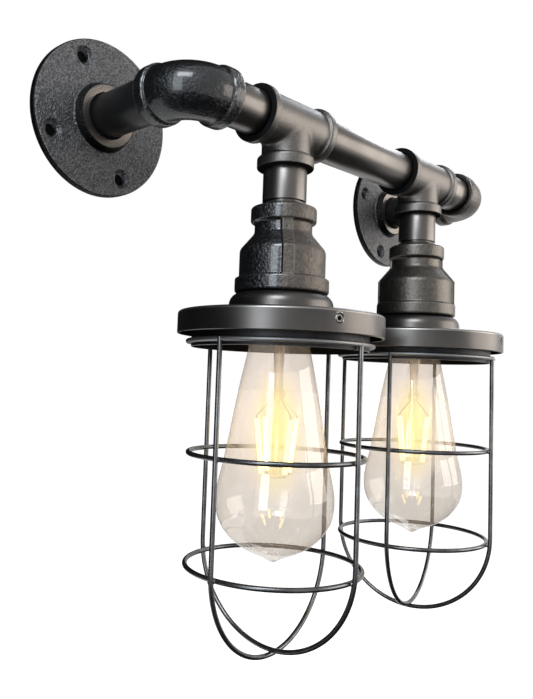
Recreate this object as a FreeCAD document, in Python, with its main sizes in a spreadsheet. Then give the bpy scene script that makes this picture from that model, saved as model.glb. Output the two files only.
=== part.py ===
import FreeCAD, Part

import math
import os

import Sketcher
from FreeCAD import Placement, Rotation, Vector

# Wall light made of water pipe: two flanges carry a straight bar, and two caged lamp heads hang from it.
# Millimetres. The wall is the plane Y = 0, the room is towards -Y, +X is to the right seen from the room
# and +Z is up. The origin is on the wall, midway between the flanges and level with the bar's axis.

doc = FreeCAD.newDocument("pipe_wall_light")
sheet = doc.addObject("Spreadsheet::Sheet", "Sizes")

DRIVING_SIZES = [
    # half-inch pipe and what screws onto it
    ("pipe_diameter", 21.34, "outside of every pipe and nipple"),
    ("pipe_wall", 2.77, "every pipe and nipple"),
    ("pipe_edge", 0.6, "chamfer on pipe ends"),
    ("thread_reach", 10.0, "how far a pipe end goes into a fitting"),
    ("thread_gap", 0.05, "clearance all round in a screwed joint"),
    ("turning_gap", 0.3, "end clearance where a tee turns on its pipes"),
    ("bore_step", 0.6, "waterway of a fitting beyond the pipe's bore"),
    ("band_wall", 3.2, "reinforcing band round each thread"),
    ("cast_edge", 0.8, "rounding of cast edges"),
    # where things are
    ("wall_room", 16.95, "wall to the nearest point of a lamp cap"),
    ("lamp_room", 23.5, "between the two lamp caps"),
    ("end_gap", 19.5, "nipple seen between elbow and tee"),
    # floor flange
    ("flange_diameter", 76.5, "disc on the wall"),
    ("flange_thickness", 4.0, "disc on the wall"),
    ("flange_edge", 1.2, "rounding of the disc's rim"),
    ("hub_height", 4.6, "hub in front of the disc"),
    ("hub_wall", 4.8, "hub round the thread, at its front face"),
    ("hub_taper", 1.5, "hub's foot beyond its front face"),
    ("hole_inset", 8.0, "disc's rim to the centre of a screw hole"),
    ("flange_hole", 6.2, "screw hole"),
    ("hole_mouth", 9.6, "countersink of a screw hole"),
    ("left_flange_turn", 24.5, "first hole of the left flange, degrees"),
    ("right_flange_turn", 73.6, "first hole of the right flange, degrees"),
    ("pipe_recess", 0.5, "arm pipe stops this short of the wall"),
    # elbow
    ("elbow_core", 0.95, "room between the two pipe ends inside"),
    ("elbow_wall", 1.9, "body round the thread"),
    ("elbow_crotch", 1.3, "inner radius of the bend"),
    ("elbow_band_width", 6.4, "band at each mouth"),
    # tee
    ("run_core", 2.5, "side pipe's end to the branch pipe's outside"),
    ("branch_core", 1.7, "branch pipe's end to the side pipes' outside"),
    ("run_wall", 1.5, "run round the thread"),
    ("branch_wall", 1.2, "branch round the thread"),
    ("run_band_width", 4.8, "band at each side mouth"),
    ("branch_band_width", 5.8, "band at the lower mouth"),
    # nipple and bell reducer
    ("drop_gap", 19.1, "nipple seen between tee and reducer"),
    ("small_band_wall", 5.2, "band round the small mouth"),
    ("small_band_height", 7.6, "band round the small mouth"),
    ("neck_wall", 3.2, "neck round the thread"),
    ("neck_height", 5.3, "below the small band"),
    ("shoulder_height", 8.2, "from neck to body"),
    ("shoulder_round", 3.5, "roundings above and below the shoulder"),
    ("straight_height", 13.5, "from shoulder to large band"),
    ("body_wall", 4.2, "body round the large thread"),
    ("large_band_wall", 6.1, "band round the large thread"),
    ("large_band_height", 7.1, "band round the large thread"),
    ("rib_width", 4.0, "casting rib"),
    ("rib_rise", 1.3, "casting rib above the body"),
    ("rib_root", 1.0, "casting rib sunk into the body"),
    ("left_rib_turn", 227.0, "first rib of the left reducer, degrees"),
    ("right_rib_turn", 301.0, "first rib of the right reducer, degrees"),
    ("seat_floor", 3.0, "land that the nipple's end sits on"),
    ("cavity_relief", 0.7, "cavity beyond the large thread"),
    ("thread_runout", 0.4, "large thread beyond the sleeve's end"),
    # spun cap
    ("sheet_wall", 1.2, "spun steel"),
    ("seat_width", 2.6, "flat seat round the holder's thread"),
    ("dome_round", 6.0, "rounding of the dome's top"),
    ("dome_height", 10.0, "dome above the disc"),
    ("skirt_room", 6.4, "cage ring to the skirt's outside"),
    ("skirt_height", 10.6, "skirt"),
    ("skirt_round", 1.5, "rounding of the disc's edge"),
    # set screws
    ("screw_diameter", 4.0, "set screw"),
    ("screw_recess", 0.2, "set screw's end below the skirt's outside"),
    ("screw_socket", 2.0, "hexagon across flats"),
    ("socket_depth", 3.0, "hexagon"),
    ("screw_drop", 4.4, "disc top to screw axis"),
    ("nut_diameter", 7.0, "welded nut inside the skirt"),
    ("nut_height", 3.0, "welded nut inside the skirt"),
    ("screw_gap", 0.1, "screw tip to cage ring"),
    ("left_screw_turn", 251.3, "first screw of the left cap, degrees"),
    ("right_screw_turn", 281.8, "first screw of the right cap, degrees"),
    # cage
    ("wire_diameter", 2.3, "every cage wire"),
    ("cage_radius", 43.95, "lamp axis to an upright wire's axis"),
    ("left_cage_turn", 5.2, "first upright of the left cage, degrees"),
    ("right_cage_turn", 104.0, "first upright of the right cage, degrees"),
    ("ring_wall", 1.1, "cage ring"),
    ("ring_headroom", 0.8, "ring's top to cap"),
    ("ring_drop", 6.2, "skirt's lower edge to ring's lower edge"),
    ("bead_height", 2.2, "bead round the ring's foot"),
    ("bead_rise", 2.1, "bead beyond the uprights' inner side"),
    ("bead_root", 0.5, "bead behind the uprights"),
    ("bead_lift", 1.5, "ring's lower edge to bead"),
    ("weld_gap", 0.03, "between pieces that are welded or crimped"),
    ("upper_hoop_drop", 55.7, "skirt's lower edge to upper hoop"),
    ("bend_start_drop", 103.4, "skirt's lower edge to where uprights start to curve"),
    ("lower_hoop_sag", 3.4, "lower hoop below where uprights start to curve"),
    # lamp holder
    ("holder_thread", 33.0, "sleeve's pipe thread"),
    ("sleeve_wall", 1.0, "threaded sleeve"),
    ("sleeve_margin", 0.1, "sleeve's flange short of the cap's flat seat"),
    ("sleeve_flange_thickness", 2.0, "flange that clamps the cap"),
    ("sleeve_step", 2.0, "holder's top above the sleeve's"),
    ("holder_headroom", 2.2, "holder's top to the reducer's shoulder"),
    ("holder_drop", 13.6, "reducer's mouth to the holder's lower end"),
    ("holder_floor", 3.5, "insulating floor"),
    ("holder_wall", 1.1, "insulating wall"),
    ("insert_gap", 0.1, "clearance all round between holder pieces"),
    ("shell_wall", 0.4, "screw shell"),
    ("shell_length", 23.0, "screw shell"),
    ("shell_hole", 11.0, "hole in the screw shell's floor"),
    ("contact_height", 1.9, "centre contact spring"),
    ("contact_diameter", 7.0, "centre contact spring"),
    ("terminal_width", 4.0, "terminal block"),
    ("terminal_height", 3.2, "terminal block"),
    ("terminal_offset", 4.8, "terminal from the lamp axis"),
    # bulb
    ("cap_clearance", 0.5, "screw shell to bulb cap"),
    ("contact_gap", 0.2, "centre contact to bulb"),
    ("button_height", 0.9, "bulb's contact button"),
    ("button_diameter", 9.0, "bulb's contact button"),
    ("button_edge", 0.8, "bevel of the contact button"),
    ("insulator_height", 2.6, "black glass under the button"),
    ("cap_length", 22.5, "bulb cap"),
    ("cap_sheet", 0.3, "bulb cap"),
    ("cap_bevel", 2.5, "bulb cap's shoulder, inwards"),
    ("cap_bevel_height", 1.7, "bulb cap's shoulder, downwards"),
    ("glass_depth", 3.5, "glass inside the bulb cap"),
    ("glass_fit", 0.4, "clearance of the glass in the bulb cap"),
    ("glass_wall", 0.8, "bulb glass"),
    ("glass_neck_length", 5.4, "straight neck of the glass"),
    ("glass_diameter", 56.2, "widest part of the bulb"),
    ("bulge_offset", 2.9, "lamp axis to the rounded end's centre of curvature"),
    ("glass_length", 116.4, "glass, from inside the cap to the tip"),
    ("glass_tip", 3.7, "tip below the rounded end"),
    ("tip_foot", 21.6, "where the drawn tip leaves the rounded end"),
    ("tip_diameter", 6.0, "tip"),
    ("tip_nose", 1.0, "height of the tip's blunt end"),
    ("stem_flare", 20.0, "foot of the glass stem"),
    ("stem_lip", 1.0, "foot of the glass stem, thickness and depth"),
    ("stem_flare_height", 8.0, "foot of the glass stem"),
    ("stem_diameter", 4.4, "glass stem"),
    ("stem_length", 38.0, "glass stem"),
    ("rod_diameter", 1.6, "glass rod below the stem"),
    ("rod_length", 40.0, "glass rod below the stem"),
    ("filament_diameter", 1.5, "light-emitting rod"),
    ("filament_length", 28.6, "light-emitting rod"),
    ("filament_lift", 1.5, "light-emitting rods above the glass rod's end"),
    ("filament_circle", 15.2, "circle of the rods' lower ends"),
    ("filament_lean", 7.6, "rods' lean outwards towards the stem, degrees"),
    # leads
    ("lead_diameter", 2.0, "insulated lead"),
    ("lead_offset", 2.6, "live and neutral leads above and below the pipe's axis"),
    ("earth_offset", 3.2, "earth lead beside the pipe's axis"),
    ("lead_recess", 14.0, "wall to the supply leads' ends"),
    ("splice_diameter", 4.6, "crimp splice"),
    ("splice_length", 10.0, "crimp splice"),
    ("swing_gap", 2.0, "splices to the lamp leads' upper ends"),
]


class Size:
    # A length or angle that keeps its formula over the sheet's cells together with its present value.
    def __init__(self, text, number):
        self.text = text
        self.number = number

    def __add__(self, other):
        return joined(self, "+", other, self.number + number_of(other))

    def __sub__(self, other):
        return joined(self, "-", other, self.number - number_of(other))

    def __mul__(self, other):
        return joined(self, "*", other, self.number * number_of(other))

    def __truediv__(self, other):
        return joined(self, "/", other, self.number / number_of(other))

    def __radd__(self, other):
        return joined(other, "+", self, other + self.number)

    def __rsub__(self, other):
        return joined(other, "-", self, other - self.number)

    def __rmul__(self, other):
        return joined(other, "*", self, other * self.number)

    def __neg__(self):
        return Size("(-1 * %s)" % self.text, -self.number)


def number_of(item):
    return item.number if isinstance(item, Size) else float(item)


def text_of(item):
    return item.text if isinstance(item, Size) else repr(float(item))


def joined(first, sign, second, number):
    return Size("(%s %s %s)" % (text_of(first), sign, text_of(second)), number)


def root(item):
    return Size("sqrt(%s)" % item.text, math.sqrt(item.number))


def cosine(angle):
    return Size("cos(%s * 1 deg)" % text_of(angle), math.cos(math.radians(number_of(angle))))


def sine(angle):
    return Size("sin(%s * 1 deg)" % text_of(angle), math.sin(math.radians(number_of(angle))))


def fill_sheet():
    for row, (alias, number, note) in enumerate(DRIVING_SIZES, start=1):
        sheet.set("A%d" % row, alias)
        sheet.set("B%d" % row, str(number))
        sheet.set("C%d" % row, note)
        sheet.setAlias("B%d" % row, alias)
    doc.recompute()
    return {alias: Size("Sizes." + alias, float(sheet.get(alias))) for alias, number, note in DRIVING_SIZES}


size = fill_sheet()


# ---- drawing and shaping ----

def bind(thing, path, item):
    # Ties one property of an object to the sheet.
    thing.setExpression(path, text_of(item))


def place(thing, x=0.0, y=0.0, z=0.0, turn=Rotation()):
    thing.Placement = Placement(Vector(number_of(x), number_of(y), number_of(z)), turn)
    for path, item in (("x", x), ("y", y), ("z", z)):
        if isinstance(item, Size):
            bind(thing, "Placement.Base." + path, item)


def new_body(label):
    body = doc.addObject("PartDesign::Body", label)
    body.Label = label
    return body


def new_sketch(body, name, plane, offset=None):
    sketch = body.newObject("Sketcher::SketchObject", name)
    support = [item for item in body.Origin.OriginFeatures if item.Role == plane][0]
    sketch.AttachmentSupport = (support, [""])
    sketch.MapMode = "FlatFace"
    if offset is not None:
        sketch.AttachmentOffset = Placement(Vector(0, 0, number_of(offset)), Rotation())
        bind(sketch, "AttachmentOffset.Base.z", offset)
    return sketch


def pin_point(sketch, geometry, end, x, y):
    # Holds one end of a line or arc at (x, y) of the sketch.
    for kind, axis, item in (("DistanceX", -2, x), ("DistanceY", -1, y)):
        if not isinstance(item, Size) and item == 0:
            sketch.addConstraint(Sketcher.Constraint("PointOnObject", geometry, end, axis))
            continue
        index = sketch.addConstraint(Sketcher.Constraint(kind, -1, 1, geometry, end, number_of(item)))
        if isinstance(item, Size):
            bind(sketch, "Constraints[%d]" % index, item)


def arc_between(start, end, radius):
    # Arc from start to end. A positive radius keeps the centre on the left of the way from start to end.
    half = (end - start) * 0.5
    across = Vector(-half.y, half.x, 0).normalize()
    reach = math.sqrt(max(radius * radius - half.Length ** 2, 0.0))
    centre = start + half + across * (reach if radius > 0 else -reach)
    circle = Part.Circle(centre, Vector(0, 0, 1), abs(radius))
    first, last = (start, end) if radius > 0 else (end, start)
    return Part.ArcOfCircle(circle, circle.parameter(first), circle.parameter(last))


def draw(sketch, corners, closed=True):
    # Each corner is (x, y) or (x, y, radius of the arc from here to the next corner).
    spots = [Vector(number_of(corner[0]), number_of(corner[1]), 0) for corner in corners]
    count = len(corners) if closed else len(corners) - 1
    ends = []
    for index in range(count):
        start, end = spots[index], spots[(index + 1) % len(spots)]
        radius = corners[index][2] if len(corners[index]) > 2 else None
        if radius is None:
            line = sketch.addGeometry(Part.LineSegment(start, end))
            ends.append((line, 1, 2))
            continue
        line = sketch.addGeometry(arc_between(start, end, number_of(radius)))
        ends.append((line, 1, 2) if number_of(radius) > 0 else (line, 2, 1))
        index = sketch.addConstraint(Sketcher.Constraint("Radius", line, abs(number_of(radius))))
        bind(sketch, "Constraints[%d]" % index, radius if number_of(radius) > 0 else -radius)
    for index in range(count):
        if closed or index > 0:
            before, here = ends[index - 1], ends[index]
            sketch.addConstraint(Sketcher.Constraint("Coincident", before[0], before[2], here[0], here[1]))
        pin_point(sketch, ends[index][0], ends[index][1], corners[index][0], corners[index][1])
    if not closed:
        pin_point(sketch, ends[-1][0], ends[-1][2], corners[-1][0], corners[-1][1])


def draw_circle(sketch, x, y, radius):
    centre = Vector(number_of(x), number_of(y), 0)
    line = sketch.addGeometry(Part.Circle(centre, Vector(0, 0, 1), number_of(radius)))
    index = sketch.addConstraint(Sketcher.Constraint("Radius", line, number_of(radius)))
    bind(sketch, "Constraints[%d]" % index, radius)
    pin_point(sketch, line, 3, x, y)


def turn_on(body, name, corners, axis="V_Axis", kind="PartDesign::Revolution", plane="XZ_Plane"):
    sketch = new_sketch(body, name + "_outline", plane)
    draw(sketch, corners)
    feature = body.newObject(kind, name)
    feature.Profile = sketch
    feature.ReferenceAxis = (sketch, [axis])
    feature.Angle = 360
    return feature


def turned(label, corners):
    body = new_body(label)
    turn_on(body, label + "_turning", corners)
    return body


def soften(body, name, radius, rims, along="z"):
    # Rounds the circular edges about one of the body's axes that lie at the given (radius, place) pairs.
    doc.recompute()
    base = body.Tip
    shape = base.Shape
    names = []
    for rim_radius, spot in rims:
        for index, edge in enumerate(shape.Edges, start=1):
            if not isinstance(edge.Curve, Part.Circle) or not edge.isClosed():
                continue
            centre = edge.Curve.Center
            off_axis = centre - Vector(*[getattr(centre, axis) if axis == along else 0.0 for axis in "xyz"])
            same_place = abs(getattr(centre, along) - number_of(spot)) < 1e-4
            if same_place and off_axis.Length < 1e-4 and abs(edge.Curve.Radius - number_of(rim_radius)) < 1e-4:
                names.append("Edge%d" % index)
    fillet = body.newObject("PartDesign::Fillet", name)
    fillet.Base = (base, names)
    bind(fillet, "Radius", radius)
    body.Tip = fillet
    return fillet


def around(body, name, feature, count, axis="Z_Axis"):
    pattern = body.newObject("PartDesign::PolarPattern", name)
    pattern.Originals = [feature]
    pattern.Axis = ([item for item in body.Origin.OriginFeatures if item.Role == axis][0], [""])
    pattern.Angle = 360
    pattern.Occurrences = count
    body.Tip = pattern
    return pattern


def swept(body, name, path, section, kind="PartDesign::AdditivePipe"):
    feature = body.newObject(kind, name)
    feature.Profile = section
    feature.Spine = path
    return feature


def rod(name, radius, length, x=0.0, y=0.0, z=0.0, turn=Rotation()):
    cylinder = doc.addObject("Part::Cylinder", name)
    bind(cylinder, "Radius", radius)
    bind(cylinder, "Height", length)
    place(cylinder, x, y, z, turn)
    return cylinder


def grouped(label, pieces):
    group = doc.addObject("Part::Compound", label)
    group.Label = label
    group.Links = pieces
    return group


def cut(label, base, tool):
    result = doc.addObject("Part::Cut", label)
    result.Label = label
    result.Base = base
    result.Tool = tool
    return result


# ---- places that several pieces share ----

pipe_radius = size["pipe_diameter"] / 2
bore_radius = pipe_radius - size["pipe_wall"]
socket_radius = pipe_radius + size["thread_gap"]
waterway = bore_radius + size["bore_step"]
band_radius = socket_radius + size["band_wall"]
elbow_radius = socket_radius + size["elbow_wall"]
elbow_bend = elbow_radius + size["elbow_crotch"]
elbow_reach = size["thread_reach"] + pipe_radius + size["elbow_core"]
run_seat = pipe_radius + size["run_core"]
run_reach = run_seat + size["turning_gap"] + size["thread_reach"]
tee_drop = pipe_radius + size["branch_core"] + size["thread_reach"]
thread_radius = size["holder_thread"] / 2
thread_bore = thread_radius + size["thread_gap"]
dome_radius = thread_radius + size["seat_width"] + size["dome_round"]
ring_radius = size["cage_radius"] - size["wire_diameter"] / 2
ring_outside = ring_radius - size["bead_root"]
skirt_radius = ring_radius + size["skirt_room"]

lamp_reach = skirt_radius + size["lamp_room"] / 2
flange_reach = lamp_reach + run_reach + size["end_gap"] + elbow_reach
lamp_place = {"left": -lamp_reach, "right": lamp_reach}
flange_place = {"left": -flange_reach, "right": flange_reach}
bar_place = -(skirt_radius + size["wall_room"])

# heights on the lamp axis, from the bar's axis down
nipple_top = -tee_drop + size["thread_reach"]
reducer_top = -tee_drop - size["drop_gap"]
nipple_bottom = reducer_top - size["thread_reach"]
neck_top = reducer_top - size["small_band_height"]
neck_low = neck_top - size["neck_height"]
body_top = neck_low - size["shoulder_height"]
band_top = body_top - size["straight_height"]
mouth = band_top - size["large_band_height"]
disc_top = mouth - size["dome_height"]
cap_bottom = disc_top - size["skirt_height"]
ring_top = disc_top - size["sheet_wall"] - size["ring_headroom"]
ring_bottom = cap_bottom - size["ring_drop"]
bead_low = ring_bottom + size["bead_lift"]
bead_high = bead_low + size["bead_height"]
screw_height = disc_top - size["screw_drop"]

# lamp holder and bulb
holder_high = body_top - size["holder_headroom"]
holder_low = mouth - size["holder_drop"]
sleeve_high = holder_high - size["sleeve_step"]
floor_under = holder_high - size["holder_floor"]
holder_radius = thread_radius - size["sleeve_wall"] - size["insert_gap"]
shell_radius = holder_radius - size["holder_wall"] - size["insert_gap"]
bulb_top = floor_under - size["contact_height"] - size["contact_gap"]
cap_top = bulb_top - size["button_height"] - size["insulator_height"]
cap_low = cap_top - size["cap_length"]
bulb_cap_radius = shell_radius - size["shell_wall"] - size["cap_clearance"]
glass_top = cap_low + size["glass_depth"]
glass_neck = bulb_cap_radius - size["cap_sheet"] - size["glass_fit"]


# ---- the pipework on the wall ----

def make_pipe(label, length):
    return turned(label, [
        (bore_radius, 0.0),
        (pipe_radius - size["pipe_edge"], 0.0),
        (pipe_radius, size["pipe_edge"]),
        (pipe_radius, length - size["pipe_edge"]),
        (pipe_radius - size["pipe_edge"], length),
        (bore_radius, length),
    ])


def make_flange(side):
    label = side + "_flange"
    front = size["flange_thickness"]
    face = front + size["hub_height"]
    rim = size["flange_diameter"] / 2
    hub = socket_radius + size["hub_wall"]
    body = turned(label, [
        (socket_radius, 0.0),
        (rim, 0.0),
        (rim, front),
        (hub + size["hub_taper"], front),
        (hub, face),
        (socket_radius, face),
    ])
    soften(body, label + "_rim", size["flange_edge"], [(rim, front)])
    sketch = new_sketch(body, label + "_hole_place", "XY_Plane", front)
    reach = rim - size["hole_inset"]
    turn = size[side + "_flange_turn"]
    draw_circle(sketch, reach * cosine(turn), reach * sine(turn), size["flange_hole"] / 2)
    doc.recompute()
    hole = body.newObject("PartDesign::Hole", label + "_hole")
    hole.Profile = sketch
    hole.Threaded = False
    hole.DepthType = "ThroughAll"
    bind(hole, "Diameter", size["flange_hole"])
    hole.HoleCutType = "Countersink"
    bind(hole, "HoleCutDiameter", size["hole_mouth"])
    hole.HoleCutCountersinkAngle = 90
    around(body, label + "_holes", hole, 4)
    place(body, flange_place[side], 0.0, 0.0, Rotation(Vector(1, 0, 0), 90))
    return body


def make_arm_pipe(side):
    length = -bar_place - elbow_reach + size["thread_reach"] - size["pipe_recess"]
    body = make_pipe(side + "_arm_pipe", length)
    place(body, flange_place[side], -size["pipe_recess"], 0.0, Rotation(Vector(1, 0, 0), 90))
    return body


def elbow_sweep(body, name, radius, kind):
    # A quarter bend between the two mouths, with a straight run to each.
    path = new_sketch(body, name + "_path", "XY_Plane")
    draw(path, [
        (elbow_reach, 0.0),
        (elbow_bend, 0.0, -elbow_bend),
        (0.0, elbow_bend),
        (0.0, elbow_reach),
    ], closed=False)
    section = new_sketch(body, name + "_section", "YZ_Plane", elbow_reach)
    draw_circle(section, 0.0, 0.0, radius)
    return swept(body, name, path, section, kind)


def make_elbow(side):
    label = side + "_elbow"
    band_start = elbow_reach - size["elbow_band_width"]
    seat = elbow_reach - size["thread_reach"]
    body = new_body(label)
    elbow_sweep(body, label + "_bend", elbow_radius, "PartDesign::AdditivePipe")
    band = [(band_start, 0.0), (band_start, band_radius), (elbow_reach, band_radius), (elbow_reach, 0.0)]
    turn_on(body, label + "_band_x", band, "H_Axis", plane="XZ_Plane")
    turn_on(body, label + "_band_y", band, "H_Axis", plane="YZ_Plane")
    elbow_sweep(body, label + "_waterway", waterway, "PartDesign::SubtractivePipe")
    socket = [(seat, 0.0), (seat, socket_radius), (elbow_reach, socket_radius), (elbow_reach, 0.0)]
    turn_on(body, label + "_socket_x", socket, "H_Axis", "PartDesign::Groove", "XZ_Plane")
    turn_on(body, label + "_socket_y", socket, "H_Axis", "PartDesign::Groove", "YZ_Plane")
    rims = [(band_radius, band_start), (band_radius, elbow_reach)]
    soften(body, label + "_edges_x", size["cast_edge"], rims, "x")
    soften(body, label + "_edges_y", size["cast_edge"], rims, "y")
    place(body, flange_place[side], bar_place, 0.0, Rotation(Vector(0, 0, 1), 0 if side == "left" else 90))
    return body


def make_end_nipple(side):
    # Joins the elbow to the tee. The tee turns on it.
    body = make_pipe(side + "_end_nipple", size["end_gap"] + 2 * size["thread_reach"])
    start = flange_reach - elbow_reach + size["thread_reach"]
    if side == "left":
        place(body, -start, bar_place, 0.0, Rotation(Vector(0, 1, 0), 90))
    else:
        place(body, start, bar_place, 0.0, Rotation(Vector(0, 1, 0), -90))
    return body


def make_bar_pipe():
    half = lamp_reach - run_reach + size["thread_reach"]
    body = make_pipe("bar_pipe", 2 * half)
    place(body, -half, bar_place, 0.0, Rotation(Vector(0, 1, 0), 90))
    return body


# ---- lamp heads ----

def put_on_lamp(body, side, turn=0.0):
    place(body, lamp_place[side], bar_place, 0.0, Rotation(Vector(0, 0, 1), number_of(turn)))
    if isinstance(turn, Size):
        bind(body, "Placement.Rotation.Angle", turn)
    return body


def make_tee(side):
    label = side + "_tee"
    run_radius = socket_radius + size["run_wall"]
    branch_radius = socket_radius + size["branch_wall"]
    run_shoulder = run_reach - size["run_band_width"]
    branch_shoulder = -tee_drop + size["branch_band_width"]
    body = new_body(label)
    turn_on(body, label + "_run", [
        (-run_reach, 0.0),
        (-run_reach, band_radius),
        (-run_shoulder, band_radius),
        (-run_shoulder, run_radius),
        (run_shoulder, run_radius),
        (run_shoulder, band_radius),
        (run_reach, band_radius),
        (run_reach, 0.0),
    ], "H_Axis")
    turn_on(body, label + "_branch", [
        (0.0, 0.0),
        (branch_radius, 0.0),
        (branch_radius, branch_shoulder),
        (band_radius, branch_shoulder),
        (band_radius, -tee_drop),
        (0.0, -tee_drop),
    ])
    turn_on(body, label + "_run_bore", [
        (-run_reach, 0.0),
        (-run_reach, socket_radius),
        (-run_seat, socket_radius),
        (-run_seat, waterway),
        (run_seat, waterway),
        (run_seat, socket_radius),
        (run_reach, socket_radius),
        (run_reach, 0.0),
    ], "H_Axis", "PartDesign::Groove")
    turn_on(body, label + "_branch_bore", [
        (0.0, 0.0),
        (waterway, 0.0),
        (waterway, nipple_top),
        (socket_radius, nipple_top),
        (socket_radius, -tee_drop),
        (0.0, -tee_drop),
    ], "V_Axis", "PartDesign::Groove")
    soften(body, label + "_run_edges", size["cast_edge"], [
        (band_radius, -run_reach), (band_radius, -run_shoulder),
        (band_radius, run_shoulder), (band_radius, run_reach)], "x")
    soften(body, label + "_branch_edges", size["cast_edge"], [
        (band_radius, branch_shoulder), (band_radius, -tee_drop)])
    return put_on_lamp(body, side)


def make_drop_nipple(side):
    body = make_pipe(side + "_drop_nipple", nipple_top - nipple_bottom)
    place(body, lamp_place[side], bar_place, nipple_bottom)
    return body


def make_reducer(side):
    label = side + "_reducer"
    neck = socket_radius + size["neck_wall"]
    small = socket_radius + size["small_band_wall"]
    body_radius = thread_bore + size["body_wall"]
    large = thread_bore + size["large_band_wall"]
    cavity = thread_bore + size["cavity_relief"]
    cavity_low = sleeve_high + size["thread_runout"]
    body = turned(label, [
        (socket_radius, reducer_top),
        (small, reducer_top),
        (small, neck_top),
        (neck, neck_top),
        (neck, neck_low),
        (body_radius, body_top),
        (body_radius, band_top),
        (large, band_top),
        (large, mouth),
        (thread_bore, mouth),
        (thread_bore, cavity_low),
        (cavity, cavity_low),
        (cavity, body_top),
        (waterway, nipple_bottom - size["seat_floor"]),
        (waterway, nipple_bottom),
        (socket_radius, nipple_bottom),
    ])
    soften(body, label + "_shoulder", size["shoulder_round"], [(neck, neck_low), (body_radius, body_top)])
    soften(body, label + "_edges", size["cast_edge"], [
        (small, reducer_top), (small, neck_top), (large, band_top), (large, mouth)])
    add_ribs(body, label, neck, body_radius)
    return put_on_lamp(body, side, size[side + "_rib_turn"])


def add_ribs(body, label, neck, body_radius):
    # Two ribs opposite each other run from the small band down to the large one.
    rise = size["rib_rise"]
    sunk = size["rib_root"]
    sketch = new_sketch(body, label + "_rib_outline", "XZ_Plane")
    draw(sketch, [
        (neck - sunk, neck_top),
        (neck + rise, neck_top),
        (neck + rise, neck_low),
        (body_radius + rise, body_top),
        (body_radius + rise, band_top),
        (body_radius - sunk, band_top),
        (body_radius - sunk, body_top),
        (neck - sunk, neck_low),
    ])
    rib = body.newObject("PartDesign::Pad", label + "_rib")
    rib.Profile = sketch
    rib.Midplane = True
    bind(rib, "Length", size["rib_width"])
    around(body, label + "_ribs", rib, 2)


def make_cap(side):
    # Spun cap: a short dome under the reducer opens into a flat disc with a straight skirt.
    label = side + "_cap"
    wall = size["sheet_wall"]
    crown = size["dome_round"]
    edge = size["skirt_round"]
    body = turned(label, [
        (thread_bore, mouth),
        (dome_radius - crown, mouth, -crown),
        (dome_radius, mouth - crown),
        (dome_radius, disc_top),
        (skirt_radius - edge, disc_top, -edge),
        (skirt_radius, disc_top - edge),
        (skirt_radius, cap_bottom),
        (skirt_radius - wall, cap_bottom),
        (skirt_radius - wall, disc_top - wall),
        (dome_radius - wall, disc_top - wall),
        (dome_radius - wall, mouth - crown, crown - wall),
        (dome_radius - crown, mouth - wall),
        (thread_bore, mouth - wall),
    ])
    sketch = new_sketch(body, label + "_nut_place", "YZ_Plane", skirt_radius - wall - size["nut_height"])
    draw_circle(sketch, 0.0, screw_height, size["nut_diameter"] / 2)
    nut = body.newObject("PartDesign::Pad", label + "_nut")
    nut.Profile = sketch
    bind(nut, "Length", size["nut_height"] + wall / 2)
    around(body, label + "_nuts", nut, 3)
    sketch = new_sketch(body, label + "_tap_place", "YZ_Plane")
    draw_circle(sketch, 0.0, screw_height, size["screw_diameter"] / 2 + size["thread_gap"])
    tap = body.newObject("PartDesign::Pocket", label + "_tap")
    tap.Profile = sketch
    tap.Type = "Length"
    tap.Reversed = True
    bind(tap, "Length", skirt_radius + wall)
    around(body, label + "_taps", tap, 3)
    return put_on_lamp(body, side, size[side + "_screw_turn"])


def make_set_screws(side):
    # Three socket screws through the skirt press on the cage ring.
    made = []
    start = ring_outside + size["screw_gap"]
    length = skirt_radius - size["screw_recess"] - start
    for number in range(3):
        label = "%s_set_screw_%d" % (side, number + 1)
        stock = rod(label + "_stock", size["screw_diameter"] / 2, length)
        socket = doc.addObject("Part::Prism", label + "_socket")
        socket.Polygon = 6
        bind(socket, "Circumradius", size["screw_socket"] / math.sqrt(3))
        bind(socket, "Height", size["socket_depth"])
        place(socket, 0.0, 0.0, length - size["socket_depth"])
        screw = cut(label, stock, socket)
        angle = size[side + "_screw_turn"] + 120.0 * number
        tilt = Rotation(Vector(0, 0, 1), angle.number).multiply(Rotation(Vector(0, 1, 0), 90))
        place(screw, lamp_place[side] + start * cosine(angle), bar_place + start * sine(angle), screw_height, tilt)
        made.append(screw)
    return made


def make_cage_ring(side):
    inner = ring_outside - size["ring_wall"]
    body = turned(side + "_cage_ring", [
        (inner, ring_bottom),
        (ring_outside, ring_bottom),
        (ring_outside, ring_top),
        (inner, ring_top),
    ])
    return put_on_lamp(body, side)


def make_cage_bead(side):
    # Half round bead welded round the ring's foot. The uprights are let into it.
    label = side + "_cage_bead"
    inner = ring_outside + size["weld_gap"]
    half = size["bead_height"] / 2
    crown = ring_radius + size["bead_rise"]
    body = new_body(label)
    turn_on(body, label + "_turning", [
        (inner, bead_low),
        (crown - half, bead_low, half),
        (crown, bead_low + half, half),
        (crown - half, bead_high),
        (inner, bead_high),
    ])
    sketch = new_sketch(body, label + "_notch_place", "XY_Plane", bead_low)
    draw_circle(sketch, size["cage_radius"], 0.0, size["wire_diameter"] / 2 + size["weld_gap"])
    notch = body.newObject("PartDesign::Pocket", label + "_notch")
    notch.Profile = sketch
    notch.Type = "Length"
    notch.Reversed = True
    bind(notch, "Length", size["bead_height"])
    around(body, label + "_notches", notch, 4)
    return put_on_lamp(body, side, size[side + "_cage_turn"])


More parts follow.
